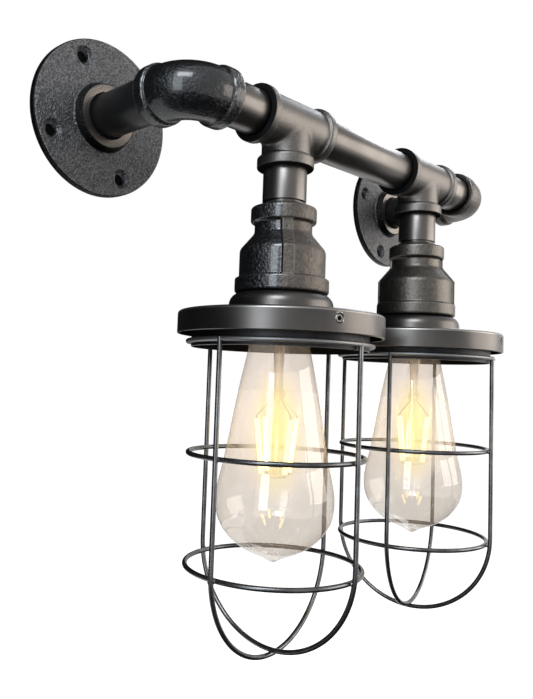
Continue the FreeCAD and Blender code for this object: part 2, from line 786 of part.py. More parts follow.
def make_cage_bow(side, number):
    # One wire bent to a U. The second one crosses inside the first.
    label = "%s_cage_bow_%d" % (side, number + 1)
    reach = size["cage_radius"]
    start = cap_bottom - size["bend_start_drop"] + number * (size["wire_diameter"] + size["weld_gap"])
    body = new_body(label)
    path = new_sketch(body, label + "_path", "XZ_Plane")
    draw(path, [
        (-reach, bead_high),
        (-reach, start, reach),
        (0.0, start - reach, reach),
        (reach, start),
        (reach, bead_high),
    ], closed=False)
    section = new_sketch(body, label + "_section", "XY_Plane", bead_high)
    draw_circle(section, -reach, 0.0, size["wire_diameter"] / 2)
    swept(body, label + "_wire", path, section)
    return put_on_lamp(body, side, size[side + "_cage_turn"] + 90.0 * number)


def make_hoop(side, name, drop, sag=0.0):
    # Hoops sit inside the uprights. The lower one meets them where they have begun to curve.
    label = "%s_%s_hoop" % (side, name)
    hoop = doc.addObject("Part::Torus", label)
    hoop.Label = label
    reach = size["cage_radius"] - size["wire_diameter"] - size["weld_gap"]
    bind(hoop, "Radius1", root(reach * reach - sag * sag))
    bind(hoop, "Radius2", size["wire_diameter"] / 2)
    place(hoop, lamp_place[side], bar_place, cap_bottom - drop)
    return hoop


def make_hoops(side):
    # The second bow starts to curve one wire higher than the first.
    sag = size["lower_hoop_sag"] + size["wire_diameter"] + size["weld_gap"]
    return [
        make_hoop(side, "upper", size["upper_hoop_drop"]),
        make_hoop(side, "lower", size["bend_start_drop"] + size["lower_hoop_sag"], sag),
    ]


# ---- lamp holder ----

def make_holder_sleeve(side):
    flange = thread_radius + size["seat_width"] - size["sleeve_margin"]
    inner = thread_radius - size["sleeve_wall"]
    flange_top = mouth - size["sheet_wall"]
    flange_low = flange_top - size["sleeve_flange_thickness"]
    body = turned(side + "_holder_sleeve", [
        (inner, holder_low),
        (thread_radius, holder_low),
        (thread_radius, flange_low),
        (flange, flange_low),
        (flange, flange_top),
        (thread_radius, flange_top),
        (thread_radius, sleeve_high),
        (inner, sleeve_high),
    ])
    return put_on_lamp(body, side)


def make_holder_body(side):
    inner = holder_radius - size["holder_wall"]
    body = turned(side + "_holder_body", [
        (0.0, holder_high),
        (0.0, floor_under),
        (inner, floor_under),
        (inner, holder_low),
        (holder_radius, holder_low),
        (holder_radius, holder_high),
    ])
    return put_on_lamp(body, side)


def make_holder_shell(side):
    inner = shell_radius - size["shell_wall"]
    hole = size["shell_hole"] / 2
    body = turned(side + "_holder_shell", [
        (hole, floor_under),
        (shell_radius, floor_under),
        (shell_radius, floor_under - size["shell_length"]),
        (inner, floor_under - size["shell_length"]),
        (inner, floor_under - size["shell_wall"]),
        (hole, floor_under - size["shell_wall"]),
    ])
    return put_on_lamp(body, side)


def make_holder_contact(side):
    radius = size["contact_diameter"] / 2
    under = floor_under - size["contact_height"]
    body = turned(side + "_terminals_contact", [
        (0.0, floor_under),
        (0.0, under),
        (radius / 2, under),
        (radius, floor_under - size["contact_height"] / 2),
        (radius, floor_under),
    ])
    return put_on_lamp(body, side)


def make_terminals(side):
    # Two brass blocks, one for each lamp lead, stand on the holder above its centre contact.
    label = side + "_terminals"
    half = size["terminal_width"] / 2
    blocks = [make_holder_contact(side)]
    for sign, name in ((-1, "neutral"), (1, "live")):
        block = doc.addObject("Part::Box", "%s_%s" % (label, name))
        for path in ("Length", "Width"):
            bind(block, path, size["terminal_width"])
        bind(block, "Height", size["terminal_height"])
        place(block, lamp_place[side] + sign * size["terminal_offset"] - half, bar_place - half, holder_high)
        blocks.append(block)
    return grouped(label, blocks)


# ---- bulb ----

def make_bulb_cap(side):
    radius = bulb_cap_radius
    sheet_side = radius - size["cap_sheet"]
    shoulder = cap_top - size["cap_bevel_height"]
    opening = radius - size["cap_bevel"]
    body = turned(side + "_bulb_cap", [
        (opening, cap_top),
        (radius, shoulder),
        (radius, cap_low),
        (sheet_side, cap_low),
        (sheet_side, shoulder),
        (opening, cap_top - size["cap_sheet"]),
    ])
    return put_on_lamp(body, side)


def make_bulb_contact(side):
    # The contact button on its ring of black glass.
    button = size["button_diameter"] / 2
    insulator = bulb_cap_radius - size["cap_bevel"] - size["insert_gap"]
    body = turned(side + "_bulb_contact", [
        (0.0, bulb_top),
        (button - size["button_edge"], bulb_top),
        (button, bulb_top - size["button_height"]),
        (insulator, cap_top),
        (insulator, cap_top - size["cap_sheet"]),
        (0.0, cap_top - size["cap_sheet"]),
    ])
    return put_on_lamp(body, side)


def glass_line(wall):
    # Straight neck, long cone and rounded end, down to the end's widest reach. The wall moves it inwards.
    bulge = size["glass_diameter"] / 2 - size["bulge_offset"]
    centre_low = glass_top - size["glass_length"] + size["glass_tip"] + bulge
    neck_low = glass_top - size["glass_neck_length"]
    lean_x = size["glass_diameter"] / 2 - glass_neck
    lean_z = neck_low - centre_low
    slope = root(lean_x * lean_x + lean_z * lean_z)
    touch_out = size["bulge_offset"] + (bulge - wall) * lean_z / slope
    touch_high = centre_low + (bulge - wall) * lean_x / slope
    return bulge - wall, centre_low, [
        (0.0, glass_top),
        (glass_neck - wall, glass_top),
        (glass_neck - wall, neck_low),
        (touch_out, touch_high, wall - bulge),
    ]


def make_bulb_glass(side):
    label = side + "_bulb_glass"
    offset = size["bulge_offset"]
    bulge, centre_low, outside = glass_line(0.0)
    foot = size["tip_foot"] / 2
    foot_low = centre_low - root(bulge * bulge - (foot - offset) * (foot - offset))
    tip_low = glass_top - size["glass_length"]
    tip = size["tip_diameter"] / 2
    nose = size["tip_nose"]
    nose_radius = (tip * tip + nose * nose) / (2 * nose)
    outside += [(foot, foot_low), (tip, tip_low + nose, -nose_radius), (0.0, tip_low)]
    body = new_body(label)
    turn_on(body, label + "_outside", outside)
    bulge, centre_low, inside = glass_line(size["glass_wall"])
    inside += [(offset, centre_low - bulge), (0.0, centre_low - bulge)]
    turn_on(body, label + "_inside", inside, kind="PartDesign::Groove")
    return put_on_lamp(body, side)


def make_bulb_stem(side):
    radius = size["stem_diameter"] / 2
    flare = size["stem_flare"] / 2
    lip = glass_top - size["stem_lip"]
    stem_low = glass_top - size["stem_length"]
    rod_radius = size["rod_diameter"] / 2
    body = turned(side + "_bulb_stem", [
        (0.0, lip),
        (flare, lip),
        (flare, lip - size["stem_lip"]),
        (radius, lip - size["stem_flare_height"]),
        (radius, stem_low),
        (rod_radius, stem_low - size["stem_lip"]),
        (rod_radius, stem_low - size["rod_length"]),
        (0.0, stem_low - size["rod_length"]),
    ])
    return put_on_lamp(body, side)


def make_filaments(side):
    # Light-emitting rods stand in a ring round the glass rod and lean outwards towards the stem.
    label = side + "_filaments"
    low = glass_top - size["stem_length"] - size["rod_length"] + size["filament_lift"]
    radius = size["filament_circle"] / 2
    rods = []
    for number in range(4):
        angle = 344.0 + 90.0 * number
        x = lamp_place[side] + radius * cosine(angle)
        y = bar_place + radius * sine(angle)
        level = Vector(-number_of(sine(angle)), number_of(cosine(angle)), 0)
        lean = Rotation(level, size["filament_lean"].number)
        name = "%s_%d" % (label, number + 1)
        stick = rod(name, size["filament_diameter"] / 2, size["filament_length"], x, y, low, lean)
        bind(stick, "Placement.Rotation.Angle", size["filament_lean"])
        rods.append(stick)
    return grouped(label, rods)


# ---- leads inside the pipes ----

def bent_lead(label, height, inset, end):
    # From the left arm pipe round the elbow and along the bar. The inset keeps to the inside of the bend.
    body = new_body(label)
    near = flange_place["left"]
    path = new_sketch(body, label + "_path", "XY_Plane", height)
    draw(path, [
        (near + inset, -size["lead_recess"]),
        (near + inset, bar_place + elbow_bend, elbow_bend - inset),
        (near + elbow_bend, bar_place + inset),
        (end, bar_place + inset),
    ], closed=False)
    section = new_sketch(body, label + "_section", "XZ_Plane", size["lead_recess"])
    draw_circle(section, near + inset, height, size["lead_diameter"] / 2)
    swept(body, label + "_wire", path, section)
    return body


def make_leads():
    # Live above neutral; both are spliced in each tee. The earth lead passes the first tee beside the splices.
    end = -lamp_reach - size["splice_length"] / 2 - size["weld_gap"]
    along = Rotation(Vector(0, 1, 0), 90)
    supply, crossing, splices = [], [], []
    for name, height in (("live", size["lead_offset"]), ("neutral", -size["lead_offset"])):
        supply.append(bent_lead("supply_" + name, height, 0.0, end))
        start = -lamp_reach + size["splice_length"] / 2 + size["weld_gap"]
        crossing.append(rod("cross_" + name, size["lead_diameter"] / 2, -2 * start, start, bar_place, height, along))
        for side in ("left", "right"):
            x = lamp_place[side] - size["splice_length"] / 2
            label = "%s_splice_%s" % (side, name)
            splices.append(rod(label, size["splice_diameter"] / 2, size["splice_length"], x, bar_place, height, along))
    earth = bent_lead("earth_lead", 0.0 * size["lead_offset"], size["earth_offset"], lamp_reach)
    return [grouped("supply_leads", supply), grouped("cross_leads", crossing),
            grouped("splice_caps", splices), earth]


def make_lamp_leads(side):
    # From below the splices straight down to the two terminals.
    label = side + "_lamp_leads"
    low = holder_high + size["terminal_height"]
    high = -size["lead_offset"] - size["splice_diameter"] / 2 - size["swing_gap"]
    leads = []
    for sign, name in ((-1, "neutral"), (1, "live")):
        x = lamp_place[side] + sign * size["terminal_offset"]
        leads.append(rod("%s_%s" % (label, name), size["lead_diameter"] / 2, high - low, x, bar_place, low))
    return grouped(label, leads)


def make_side(side):
    parts = [
        make_flange(side), make_arm_pipe(side), make_elbow(side), make_end_nipple(side),
        make_tee(side), make_drop_nipple(side), make_reducer(side), make_cap(side),
        make_cage_ring(side), make_cage_bead(side), make_cage_bow(side, 0), make_cage_bow(side, 1),
        make_holder_sleeve(side), make_holder_body(side), make_holder_shell(side),
        make_terminals(side), make_lamp_leads(side),
        make_bulb_cap(side), make_bulb_contact(side), make_bulb_glass(side),
        make_bulb_stem(side), make_filaments(side),
    ]
    return parts + make_hoops(side) + make_set_screws(side)


def check(parts):
    doc.recompute()
    for item in doc.Objects:
        if "Invalid" in item.State or "Error" in item.State:
            raise RuntimeError("%s did not build: %s" % (item.Label, item.State))
    for part in parts:
        if part.Shape.isNull() or not part.Shape.isValid() or part.Shape.Volume <= 0:
            raise RuntimeError("%s has no sound solid" % part.Label)


def export(parts):
    os.makedirs("parts", exist_ok=True)
    for part in parts:
        part.Shape.exportStep("parts/%s.step" % part.Label)


made = [make_bar_pipe()] + make_side("left") + make_side("right") + make_leads()
check(made)
export(made)
for part in made:
    print("%-24s %9.1f mm3, %d solid(s)" % (part.Label, part.Shape.Volume, len(part.Shape.Solids)))
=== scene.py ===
import math

import bmesh
import bpy
from mathutils import Matrix, Vector


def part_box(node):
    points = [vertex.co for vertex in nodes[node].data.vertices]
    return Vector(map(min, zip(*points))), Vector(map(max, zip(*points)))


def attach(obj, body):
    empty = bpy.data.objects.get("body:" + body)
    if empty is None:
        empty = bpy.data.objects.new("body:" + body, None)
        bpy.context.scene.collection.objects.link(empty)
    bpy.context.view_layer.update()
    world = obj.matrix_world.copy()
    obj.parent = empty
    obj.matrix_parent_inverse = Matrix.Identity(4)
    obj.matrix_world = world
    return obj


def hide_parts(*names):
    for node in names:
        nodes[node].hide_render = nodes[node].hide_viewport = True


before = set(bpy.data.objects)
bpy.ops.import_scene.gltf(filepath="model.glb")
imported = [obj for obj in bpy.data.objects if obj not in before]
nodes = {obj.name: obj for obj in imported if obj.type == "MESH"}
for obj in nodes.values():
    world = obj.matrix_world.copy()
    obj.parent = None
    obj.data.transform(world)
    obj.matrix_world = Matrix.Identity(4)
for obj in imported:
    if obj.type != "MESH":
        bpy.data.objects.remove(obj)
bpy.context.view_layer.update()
sides = ("left", "right")
mm = 0.001
upward = Vector((0.0, 0.0, 1.0))


def middle(node):
    low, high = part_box(node)
    return (low + high) / 2


barAxis = middle("bar_pipe")
lampAxis = {side: Vector((middle(side + "_cap").x, barAxis.y, 0.0)) for side in sides}
flangeCentre = {side: Vector((middle(side + "_flange").x, 0.0, 0.0)) for side in sides}
print("frame loaded:", len(nodes), "nodes")


def pick(look, names):
    # Several values by their names.
    return [look[name] for name in names.split()]


def onLamp(side, height=0.0):
    # A spot on a lamp's axis, at a height in millimetres.
    return lampAxis[side] + Vector((0.0, 0.0, height * mm))


def turnedOut(degrees):
    # The level direction at an angle round a lamp.
    turn = math.radians(degrees)
    return Vector((math.cos(turn), math.sin(turn), 0.0))


# ---- camera

cameraView = {
    "place": (-0.3242466, -0.2957452, -0.1255272),
    "yaw": 0.7692811,
    "pitch": 0.0761038,
    "roll": 0.0390803,
    "focalPixels": 728.59,
    "centre": (218.742, 324.757),
    "image": (533, 699),
}


def makeCamera():
    yaw, pitch, roll = pick(cameraView, "yaw pitch roll")
    ahead = Vector((math.sin(yaw) * math.cos(pitch), math.cos(yaw) * math.cos(pitch), math.sin(pitch)))
    level = Vector((math.cos(yaw), -math.sin(yaw), 0.0))
    upright = level.cross(ahead)
    right = level * math.cos(roll) + upright * math.sin(roll)
    up = upright * math.cos(roll) - level * math.sin(roll)
    lens = bpy.data.cameras.new("camera")
    (width, height), (across, down) = pick(cameraView, "image centre")
    lens.lens = cameraView["focalPixels"] * lens.sensor_width / height
    lens.shift_x = (width / 2 - across) / height
    lens.shift_y = (down - height / 2) / height
    lens.clip_start = 0.01
    camera = bpy.data.objects.new("camera", lens)
    facing = Matrix((right, up, -ahead)).transposed().to_4x4()
    camera.matrix_world = Matrix.Translation(cameraView["place"]) @ facing
    bpy.context.scene.collection.objects.link(camera)
    bpy.context.scene.camera = camera


# ---- putting finishes together

class Signal:
    # A number or colour on its way through a finish; arithmetic on it adds Math nodes.
    def __init__(self, finish, socket):
        self.finish = finish
        self.socket = socket

    def maths(self, operation, first, second):
        return self.finish.node("Math", {"operation": operation}, {0: first, 1: second})

    def __add__(self, other):
        return self.maths("ADD", self, other)

    def __sub__(self, other):
        return self.maths("SUBTRACT", self, other)

    def __rsub__(self, other):
        return self.maths("SUBTRACT", other, self)

    def __mul__(self, other):
        return self.maths("MULTIPLY", self, other)

    __radd__ = __add__
    __rmul__ = __mul__


class Finish:
    # A material, or the world, being put together from nodes.
    def __init__(self, name, owner=None):
        self.owner = owner or bpy.data.materials.new(name)
        self.owner.use_nodes = True
        self.tree = self.owner.node_tree
        self.tree.nodes.clear()

    def node(self, kind, settings, inputs, output=0):
        made = self.tree.nodes.new("ShaderNode" + kind)
        for name, value in settings.items():
            if name == "stops":
                self.setStops(made.color_ramp, value)
            else:
                setattr(made, name, value)
        for name, value in inputs.items():
            if isinstance(value, Signal):
                self.tree.links.new(value.socket, made.inputs[name])
            else:
                made.inputs[name].default_value = value
        return Signal(self, made.outputs[output]) if len(made.outputs) else None

    def setStops(self, ramp, stops):
        while len(ramp.elements) < len(stops):
            ramp.elements.new(0.5)
        for element, (place, level) in zip(ramp.elements, stops):
            element.position = place
            element.color = (level, level, level, 1.0)

    def place(self, centre=(0.0, 0.0, 0.0), stretch=(1.0, 1.0, 1.0)):
        spots = self.node("TexCoord", {}, {}, "Object")
        away = tuple(-scale * spot for scale, spot in zip(stretch, centre))
        return self.node("Mapping", {}, {"Vector": spots, "Location": away, "Scale": stretch})

    def noise(self, spots, scale, detail=3.0):
        return self.node("TexNoise", {}, {"Vector": spots, "Scale": scale, "Detail": detail})

    def ramp(self, signal, *stops):
        return self.node("ValToRGB", {"stops": stops}, {"Fac": signal})

    def blend(self, share, first, second):
        first, second = (value if isinstance(value, Signal) else (*value, 1.0) for value in (first, second))
        return self.node("Mix", {"data_type": "RGBA"}, {0: share, 6: first, 7: second}, 2)

    def mixed(self, share, first, second):
        return self.node("MixShader", {}, {0: share, 1: first, 2: second})

    def plain(self, kind, colour, **values):
        # A simple shader of one colour.
        return self.node(kind, {}, {"Color": (*colour, 1.0), **values})

    def grained(self, colour, metal, rough, height, depth, more=None):
        # The usual shader, with its grain as a bump.
        bump = self.node("Bump", {}, {"Height": height, "Distance": depth})
        return self.node("BsdfPrincipled", {}, {
            "Base Color": colour, "Metallic": metal, "Roughness": rough, "Normal": bump, **(more or {})})

    def under(self, signal, limit):
        return signal.maths("LESS_THAN", signal, limit)

    def greatest(self, first, second):
        return first.maths("MAXIMUM", first, second)

    def distance(self, first, second):
        return self.node("Math", {"operation": "SQRT"}, {0: first * first + second * second})

    def parts(self, spots):
        return {axis: self.node("SeparateXYZ", {}, {"Vector": spots}, axis) for axis in "XYZ"}

    def wear(self):
        return self.node("Attribute", {"attribute_name": "wear"}, {}, "Fac")

    def done(self, shader, kind="OutputMaterial"):
        self.node(kind, {}, {"Surface": shader})
        return self.owner


white = (1.0, 1.0, 1.0)

steelLook = {
    # colours of the hollows, the body and rubbed edges; roughness, share of metal, shine
    "bare": {"dark": (0.078, 0.073, 0.069), "pale": (0.120, 0.112, 0.105), "worn": (0.26, 0.25, 0.24),
             "gloss": 0.33, "metal": 0.98, "shine": 0.5},
    "black": {"dark": (0.005, 0.005, 0.005), "pale": (0.010, 0.010, 0.010), "worn": (0.05, 0.05, 0.05),
              "gloss": 0.30, "metal": 0.2, "shine": 0.2},
}

steelGrain = {"cloud": 38.0, "fine": 1600.0, "smooth": 0.05, "spread": 0.10, "depth": 0.000012}


def satinSteel(name, look, stretch):
    # Pipe with a fine grain drawn out along it.
    made = Finish(name)
    cloud = made.noise(made.place(), steelGrain["cloud"])
    grain = made.noise(made.place(stretch=stretch), steelGrain["fine"], 2.0)
    colour = made.blend(made.ramp(cloud, (0.3, 0.0), (0.7, 1.0)), look["dark"], look["pale"])
    worn = made.wear() * made.ramp(grain, (0.35, 0.2), (0.6, 1.0))
    colour = made.blend(worn, colour, look["worn"])
    rough = look["gloss"] - steelGrain["smooth"] + steelGrain["spread"] * grain
    return made.done(made.grained(colour, look["metal"], rough, grain, steelGrain["depth"], {
        "Specular IOR Level": look["shine"]}))


bareIron = {"patchy": 0.6, "lacquer": 0.0, "clear": 0.16}  # what most castings share

castLook = {
    # as steelLook, with how patchy the colour is, the size and depth of the pebbles, and the lacquer
    "flange": {**bareIron, "dark": (0.034, 0.035, 0.037), "pale": (0.112, 0.113, 0.118), "patchy": 0.2,
               "worn": (0.12, 0.12, 0.125), "gloss": 0.25, "metal": 0.92, "pebble": 1150.0, "depth": 0.00130},
    "elbow": {**bareIron, "dark": (0.009, 0.010, 0.011), "pale": (0.018, 0.019, 0.021),
              "worn": (0.11, 0.11, 0.11), "gloss": 0.27, "metal": 0.8, "pebble": 760.0, "depth": 0.00100,
              "lacquer": 0.50, "clear": 0.15},
    # painted light: the right elbow is the left one's iron in paler brown, for the side light on it
    "sideLitElbow": {**bareIron, "dark": (0.055, 0.050, 0.047), "pale": (0.095, 0.087, 0.082),
                 "worn": (0.12, 0.11, 0.10), "gloss": 0.33, "metal": 0.95, "pebble": 700.0, "depth": 0.00040},
    "tee": {**bareIron, "dark": (0.084, 0.079, 0.074), "pale": (0.125, 0.118, 0.111),
            "worn": (0.125, 0.118, 0.111), "gloss": 0.36, "metal": 0.98, "pebble": 1100.0, "depth": 0.00010},
    "reducer": {**bareIron, "dark": (0.024, 0.025, 0.027), "pale": (0.052, 0.053, 0.056),
                "worn": (0.078, 0.077, 0.077), "gloss": 0.27, "metal": 0.94, "pebble": 640.0,
                "depth": 0.00135, "lacquer": 0.65, "clear": 0.10},
    # painted light: the right reducer is the left one's iron in paler brown, for the side light on it
    "sideLitReducer": {**bareIron, "dark": (0.066, 0.061, 0.055), "pale": (0.104, 0.096, 0.087),
                   "worn": (0.10, 0.094, 0.086), "gloss": 0.33, "metal": 0.98, "pebble": 700.0,
                   "depth": 0.00022},
}

castGrain = {"swell": 5.0, "blotch": 55.0, "spread": 0.16, "pebbleHigh": 0.65, "swellHigh": 0.3}


def castIron(name, look, zones=None, finished=None):
    # Pebbled iron; zones changes its values from place to place, finished lays black paint over it as painted
    # shade.
    made = Finish(name)
    spots = made.place()
    pebble = made.noise(spots, look["pebble"])
    swell = made.noise(spots, look["pebble"] / castGrain["swell"], 2.0)
    blotch = made.ramp(made.noise(spots, castGrain["blotch"]), (0.35, 0.0), (0.68, 1.0))
    speck = made.ramp(pebble, (0.36, 0.0), (0.66, 1.0))
    even = 1 - look["patchy"]
    colour = made.blend(speck * (even + look["patchy"] * blotch), look["dark"], look["pale"])
    worn = made.wear() * made.ramp(pebble, (0.38, 0.15), (0.58, 1.0))
    colour = made.blend(worn, colour, look["worn"])
    height = castGrain["pebbleHigh"] * pebble + castGrain["swellHigh"] * swell
    rough = look["gloss"] + castGrain["spread"] * pebble
    lacquer = look["lacquer"]
    if zones:
        colour, height, rough, lacquer = zones(made, colour, height, rough, lacquer)
    iron = made.grained(colour, look["metal"], rough, height, look["depth"], {
        "Coat Weight": lacquer, "Coat Roughness": look["clear"]})
    return made.done(finished(made, iron) if finished else iron)


flangeZones = {
    "faceOut": 0.0151, "faceHigh": 0.0078, "face": (0.098, 0.089, 0.082), "flat": 0.85,  # hub's turned end
    "hubOut": 0.0168, "hubHigh": 0.0046,
    "edgeOut": 0.0377, "black": (0.007, 0.007, 0.007),  # painted shade: black on the rim's side and round the hub's side
}


def flangeIron(name, side, look):
    def zones(made, colour, height, rough, lacquer):
        parts = made.parts(made.place(flangeCentre[side]))
        out = made.distance(parts["X"], parts["Z"])
        hub = made.under(out, flangeZones["hubOut"]) * made.under(parts["Y"], -flangeZones["hubHigh"])
        face = made.under(out, flangeZones["faceOut"]) * made.under(parts["Y"], -flangeZones["faceHigh"])
        edge = 1 - made.under(out, flangeZones["edgeOut"])
        # Painted shade: the hub's side and the rim's side are coloured black.
        colour = made.blend(made.greatest(hub, edge), colour, flangeZones["black"])
        colour = made.blend(face, colour, flangeZones["face"])
        return colour, height * (1 - flangeZones["flat"] * face), rough, lacquer
    return castIron(name, look, zones)


sideLitLook = {
    "toward": 318.2, "edge": 0.0026,  # middle, in degrees, of the half that faces the warm side light, and how far past the axis it goes
    "colour": (0.088, 0.077, 0.067), "cloud": 420.0, "rough": 0.17, "flat": 0.55,
}


def sideLitIron(name, side, look):
    # One half, from a rib on, facing the warm side light, is painted a paler warm brown as painted light, and
    # is made rougher, flatter and bare of lacquer.
    def zones(made, colour, height, rough, lacquer):
        turn = math.radians(sideLitLook["toward"])
        parts = made.parts(made.place(lampAxis[side]))
        across = parts["X"] * math.cos(turn) + parts["Y"] * math.sin(turn)
        half = 1 - made.under(across, -sideLitLook["edge"])
        cloud = made.ramp(made.noise(made.place(), sideLitLook["cloud"]), (0.3, 0.45), (0.6, 0.9))
        # Painted light: the lit half takes a paler warm brown.
        colour = made.blend(half * cloud, colour, sideLitLook["colour"])
        height = height * (1 - sideLitLook["flat"] * half)
        return colour, height, rough + sideLitLook["rough"] * half, lacquer * (1 - half)
    return castIron(name, look, zones)


# painted shade: matte black on the mouths' flat ends and the branch's end
mouthShade = {"run": 0.02290, "drop": -0.02190, "shadeColour": (0.006, 0.006, 0.006)}


def teeIron(name, side, look):
    # The flat ends of the mouths are coloured matte black as painted shade.
    def finished(made, iron):
        parts = made.parts(made.place(lampAxis[side]))
        along = made.node("Math", {"operation": "ABSOLUTE"}, {0: parts["X"]})
        ends = 1 - made.under(along, mouthShade["run"])
        foot = made.under(parts["Z"], mouthShade["drop"])
        return made.mixed(made.greatest(ends, foot), iron, made.plain("BsdfDiffuse", mouthShade["shadeColour"]))
    return castIron(name, look, finished=finished)


spunLook = {
    "dark": (0.054, 0.051, 0.049), "pale": (0.084, 0.079, 0.075), "worn": (0.34, 0.33, 0.32), "cloud": 30.0,
    "gloss": 0.32, "smooth": 0.05, "spread": 0.12, "metal": 0.98,
    "lines": 2600.0, "lineDepth": 0.000016,
    "shadeColour": (0.006, 0.006, 0.006), "shadeTop": -0.0936, "shadeOut": 0.0484,  # painted shade: black underside
    "rubbed": 0.8, "lowEdgeHighlightCut": 0.7, "highlightLow": -0.0960,  # worn edges and a painted highlight: bright on the upper edge, mostly taken off the lower one
}


def spunSteel(name, side):
    # Lathe lines follow the distance from the lamp axis and the height.
    look = spunLook
    made = Finish(name)
    spots = made.place(lampAxis[side])
    parts = made.parts(spots)
    out = made.distance(parts["X"], parts["Y"])
    lines = made.noise(made.node("CombineXYZ", {}, {"X": out, "Y": parts["Z"]}), look["lines"], 2.0)
    cloud = made.noise(spots, look["cloud"])
    colour = made.blend(made.ramp(cloud, (0.3, 0.0), (0.7, 1.0)), look["dark"], look["pale"])
    # Pale worn edges, which along the upper edge also paint a highlight; below a height little of it is kept.
    wearAndHighlight = look["rubbed"] - look["lowEdgeHighlightCut"] * made.under(parts["Z"], look["highlightLow"])
    colour = made.blend(made.wear() * wearAndHighlight, colour, look["worn"])
    # Painted shade: the underside inside the skirt is matte black.
    shadedUnder = made.under(parts["Z"], look["shadeTop"]) * made.under(out, look["shadeOut"])
    rough = look["gloss"] - look["smooth"] + look["spread"] * lines
    steel = made.grained(colour, look["metal"], rough, lines, look["lineDepth"])
    return made.done(made.mixed(shadedUnder, steel, made.plain("BsdfDiffuse", look["shadeColour"])))


wireLook = {
    "wire": {"dark": (0.060, 0.061, 0.063), "pale": (0.110, 0.111, 0.114), "gloss": 0.22},
    # the ring's dark colours paint the shade under the cap, and its inside is painted shade
    "ring": {"dark": (0.014, 0.014, 0.015), "pale": (0.026, 0.025, 0.027), "gloss": 0.40,
             "inside": 0.0418, "shadeColour": (0.005, 0.005, 0.005)},
}

wireGrain = {
    "cloud": 120.0, "fine": 1800.0, "spread": 0.12, "depth": 0.00001, "metal": 0.92,
    "rubbed": 0.6, "worn": (0.34, 0.34, 0.34),
}


def wireSteel(name, look, side=None):
    made = Finish(name)
    spots = made.place()
    cloud = made.noise(spots, wireGrain["cloud"])
    grain = made.noise(spots, wireGrain["fine"], 2.0)
    colour = made.blend(made.ramp(cloud, (0.35, 0.0), (0.65, 1.0)), look["dark"], look["pale"])
    colour = made.blend(made.wear() * wireGrain["rubbed"], colour, wireGrain["worn"])
    rough = look["gloss"] + wireGrain["spread"] * grain
    steel = made.grained(colour, wireGrain["metal"], rough, grain, wireGrain["depth"])
    if side:  # a side's ring gets painted shade: matte black inside
        parts = made.parts(made.place(lampAxis[side]))
        inside = made.under(made.distance(parts["X"], parts["Y"]), look["inside"])
        steel = made.mixed(inside, steel, made.plain("BsdfDiffuse", look["shadeColour"]))
    return made.done(steel)


glassLook = {
    # what the wall lets through high up, low down and at its edges; the film on it, and its mirror
    "bulb": {"high": (0.905, 0.865, 0.835), "low": (0.765, 0.748, 0.728), "smoky": (0.58, 0.57, 0.56),
             "film": (0.88, 0.82, 0.77), "haze": 0.09, "mirror": 0.045, "gloss": 0.03},
    "stem": {"high": (0.90, 0.86, 0.80), "low": (0.90, 0.86, 0.80), "smoky": (0.60, 0.54, 0.46),
             "film": (0.88, 0.80, 0.68), "haze": 0.30, "mirror": 0.04, "gloss": 0.05},
}

glassWall = {
    "cloud": 45.0, "leastFilm": 0.8, "filmSpread": 0.4,
    "lowEnd": -0.186, "highStart": -0.138,  # heights between which the tint changes
    "edgeMirror": 0.35, "edgePower": 5.0,
}


def thinGlass(name, look):
    # A blown wall too thin to bend what is behind it, darker and glossier at its edges, with a faint film.
    made = Finish(name)
    spots = made.place()
    cloud = made.noise(spots, glassWall["cloud"])
    edge = made.node("LayerWeight", {}, {"Blend": 0.5}, "Facing")
    height = made.node("MapRange", {}, {
        "Value": made.parts(spots)["Z"], "From Min": glassWall["lowEnd"], "From Max": glassWall["highStart"]})
    high, low, smoky = (made.plain("BsdfTransparent", look[key]) for key in ("high", "low", "smoky"))
    wall = made.mixed(edge * edge * edge, made.mixed(height, low, high), smoky)
    near, far = (made.plain(kind, look["film"]) for kind in ("BsdfDiffuse", "BsdfTranslucent"))
    film = look["haze"] * (glassWall["leastFilm"] + glassWall["filmSpread"] * cloud)
    wall = made.mixed(film, wall, made.mixed(0.5, near, far))
    shine = made.node("BsdfPrincipled", {}, {
        "Base Color": (*white, 1.0), "Metallic": 1.0, "Roughness": look["gloss"]})
    rear = made.node("NewGeometry", {}, {}, "Backfacing")
    rim = edge.maths("POWER", edge, glassWall["edgePower"])
    mirror = look["mirror"] * (1 + rear) + glassWall["edgeMirror"] * rim
    return made.done(made.mixed(mirror, wall, shine))


glowLook = {
    "veil": (1.0, 0.88, 0.76), "core": (1.0, 0.90, 0.26), "strength": 1.1,
    "share": 0.55, "cloud": 120.0, "least": 0.85, "spread": 0.3,
}


def glowHaze(name):
    # The glow round the lit rods: strongest seen through its middle, gone at its edge.
    look = glowLook
    made = Finish(name)
    cloud = made.noise(made.place(), look["cloud"])
    facing = 1 - made.node("LayerWeight", {}, {"Blend": 0.5}, "Facing")
    broad = facing * facing
    narrow = broad * broad * broad
    veil, core = (made.plain("Emission", look[key], Strength=look["strength"]) for key in ("veil", "core"))
    share = broad * (look["share"] * (look["least"] + look["spread"] * cloud))
    return made.done(made.mixed(share, made.plain("BsdfTransparent", white), made.mixed(narrow, veil, core)))


rodLook = {"colour": (1.0, 0.68, 0.15), "hot": (1.0, 0.78, 0.24), "cloud": 700.0, "rough": 0.5,
           "strength": 5.5}


def glowing(name):
    look = rodLook
    made = Finish(name)
    shade = made.blend(made.noise(made.place(), look["cloud"]), look["colour"], look["hot"])
    return made.done(made.node("BsdfPrincipled", {}, {
        "Base Color": shade, "Roughness": look["rough"],
        "Emission Color": shade, "Emission Strength": look["strength"]}))


plainGrain = {"cloud": 90.0, "spread": 0.12, "depth": 0.00002}


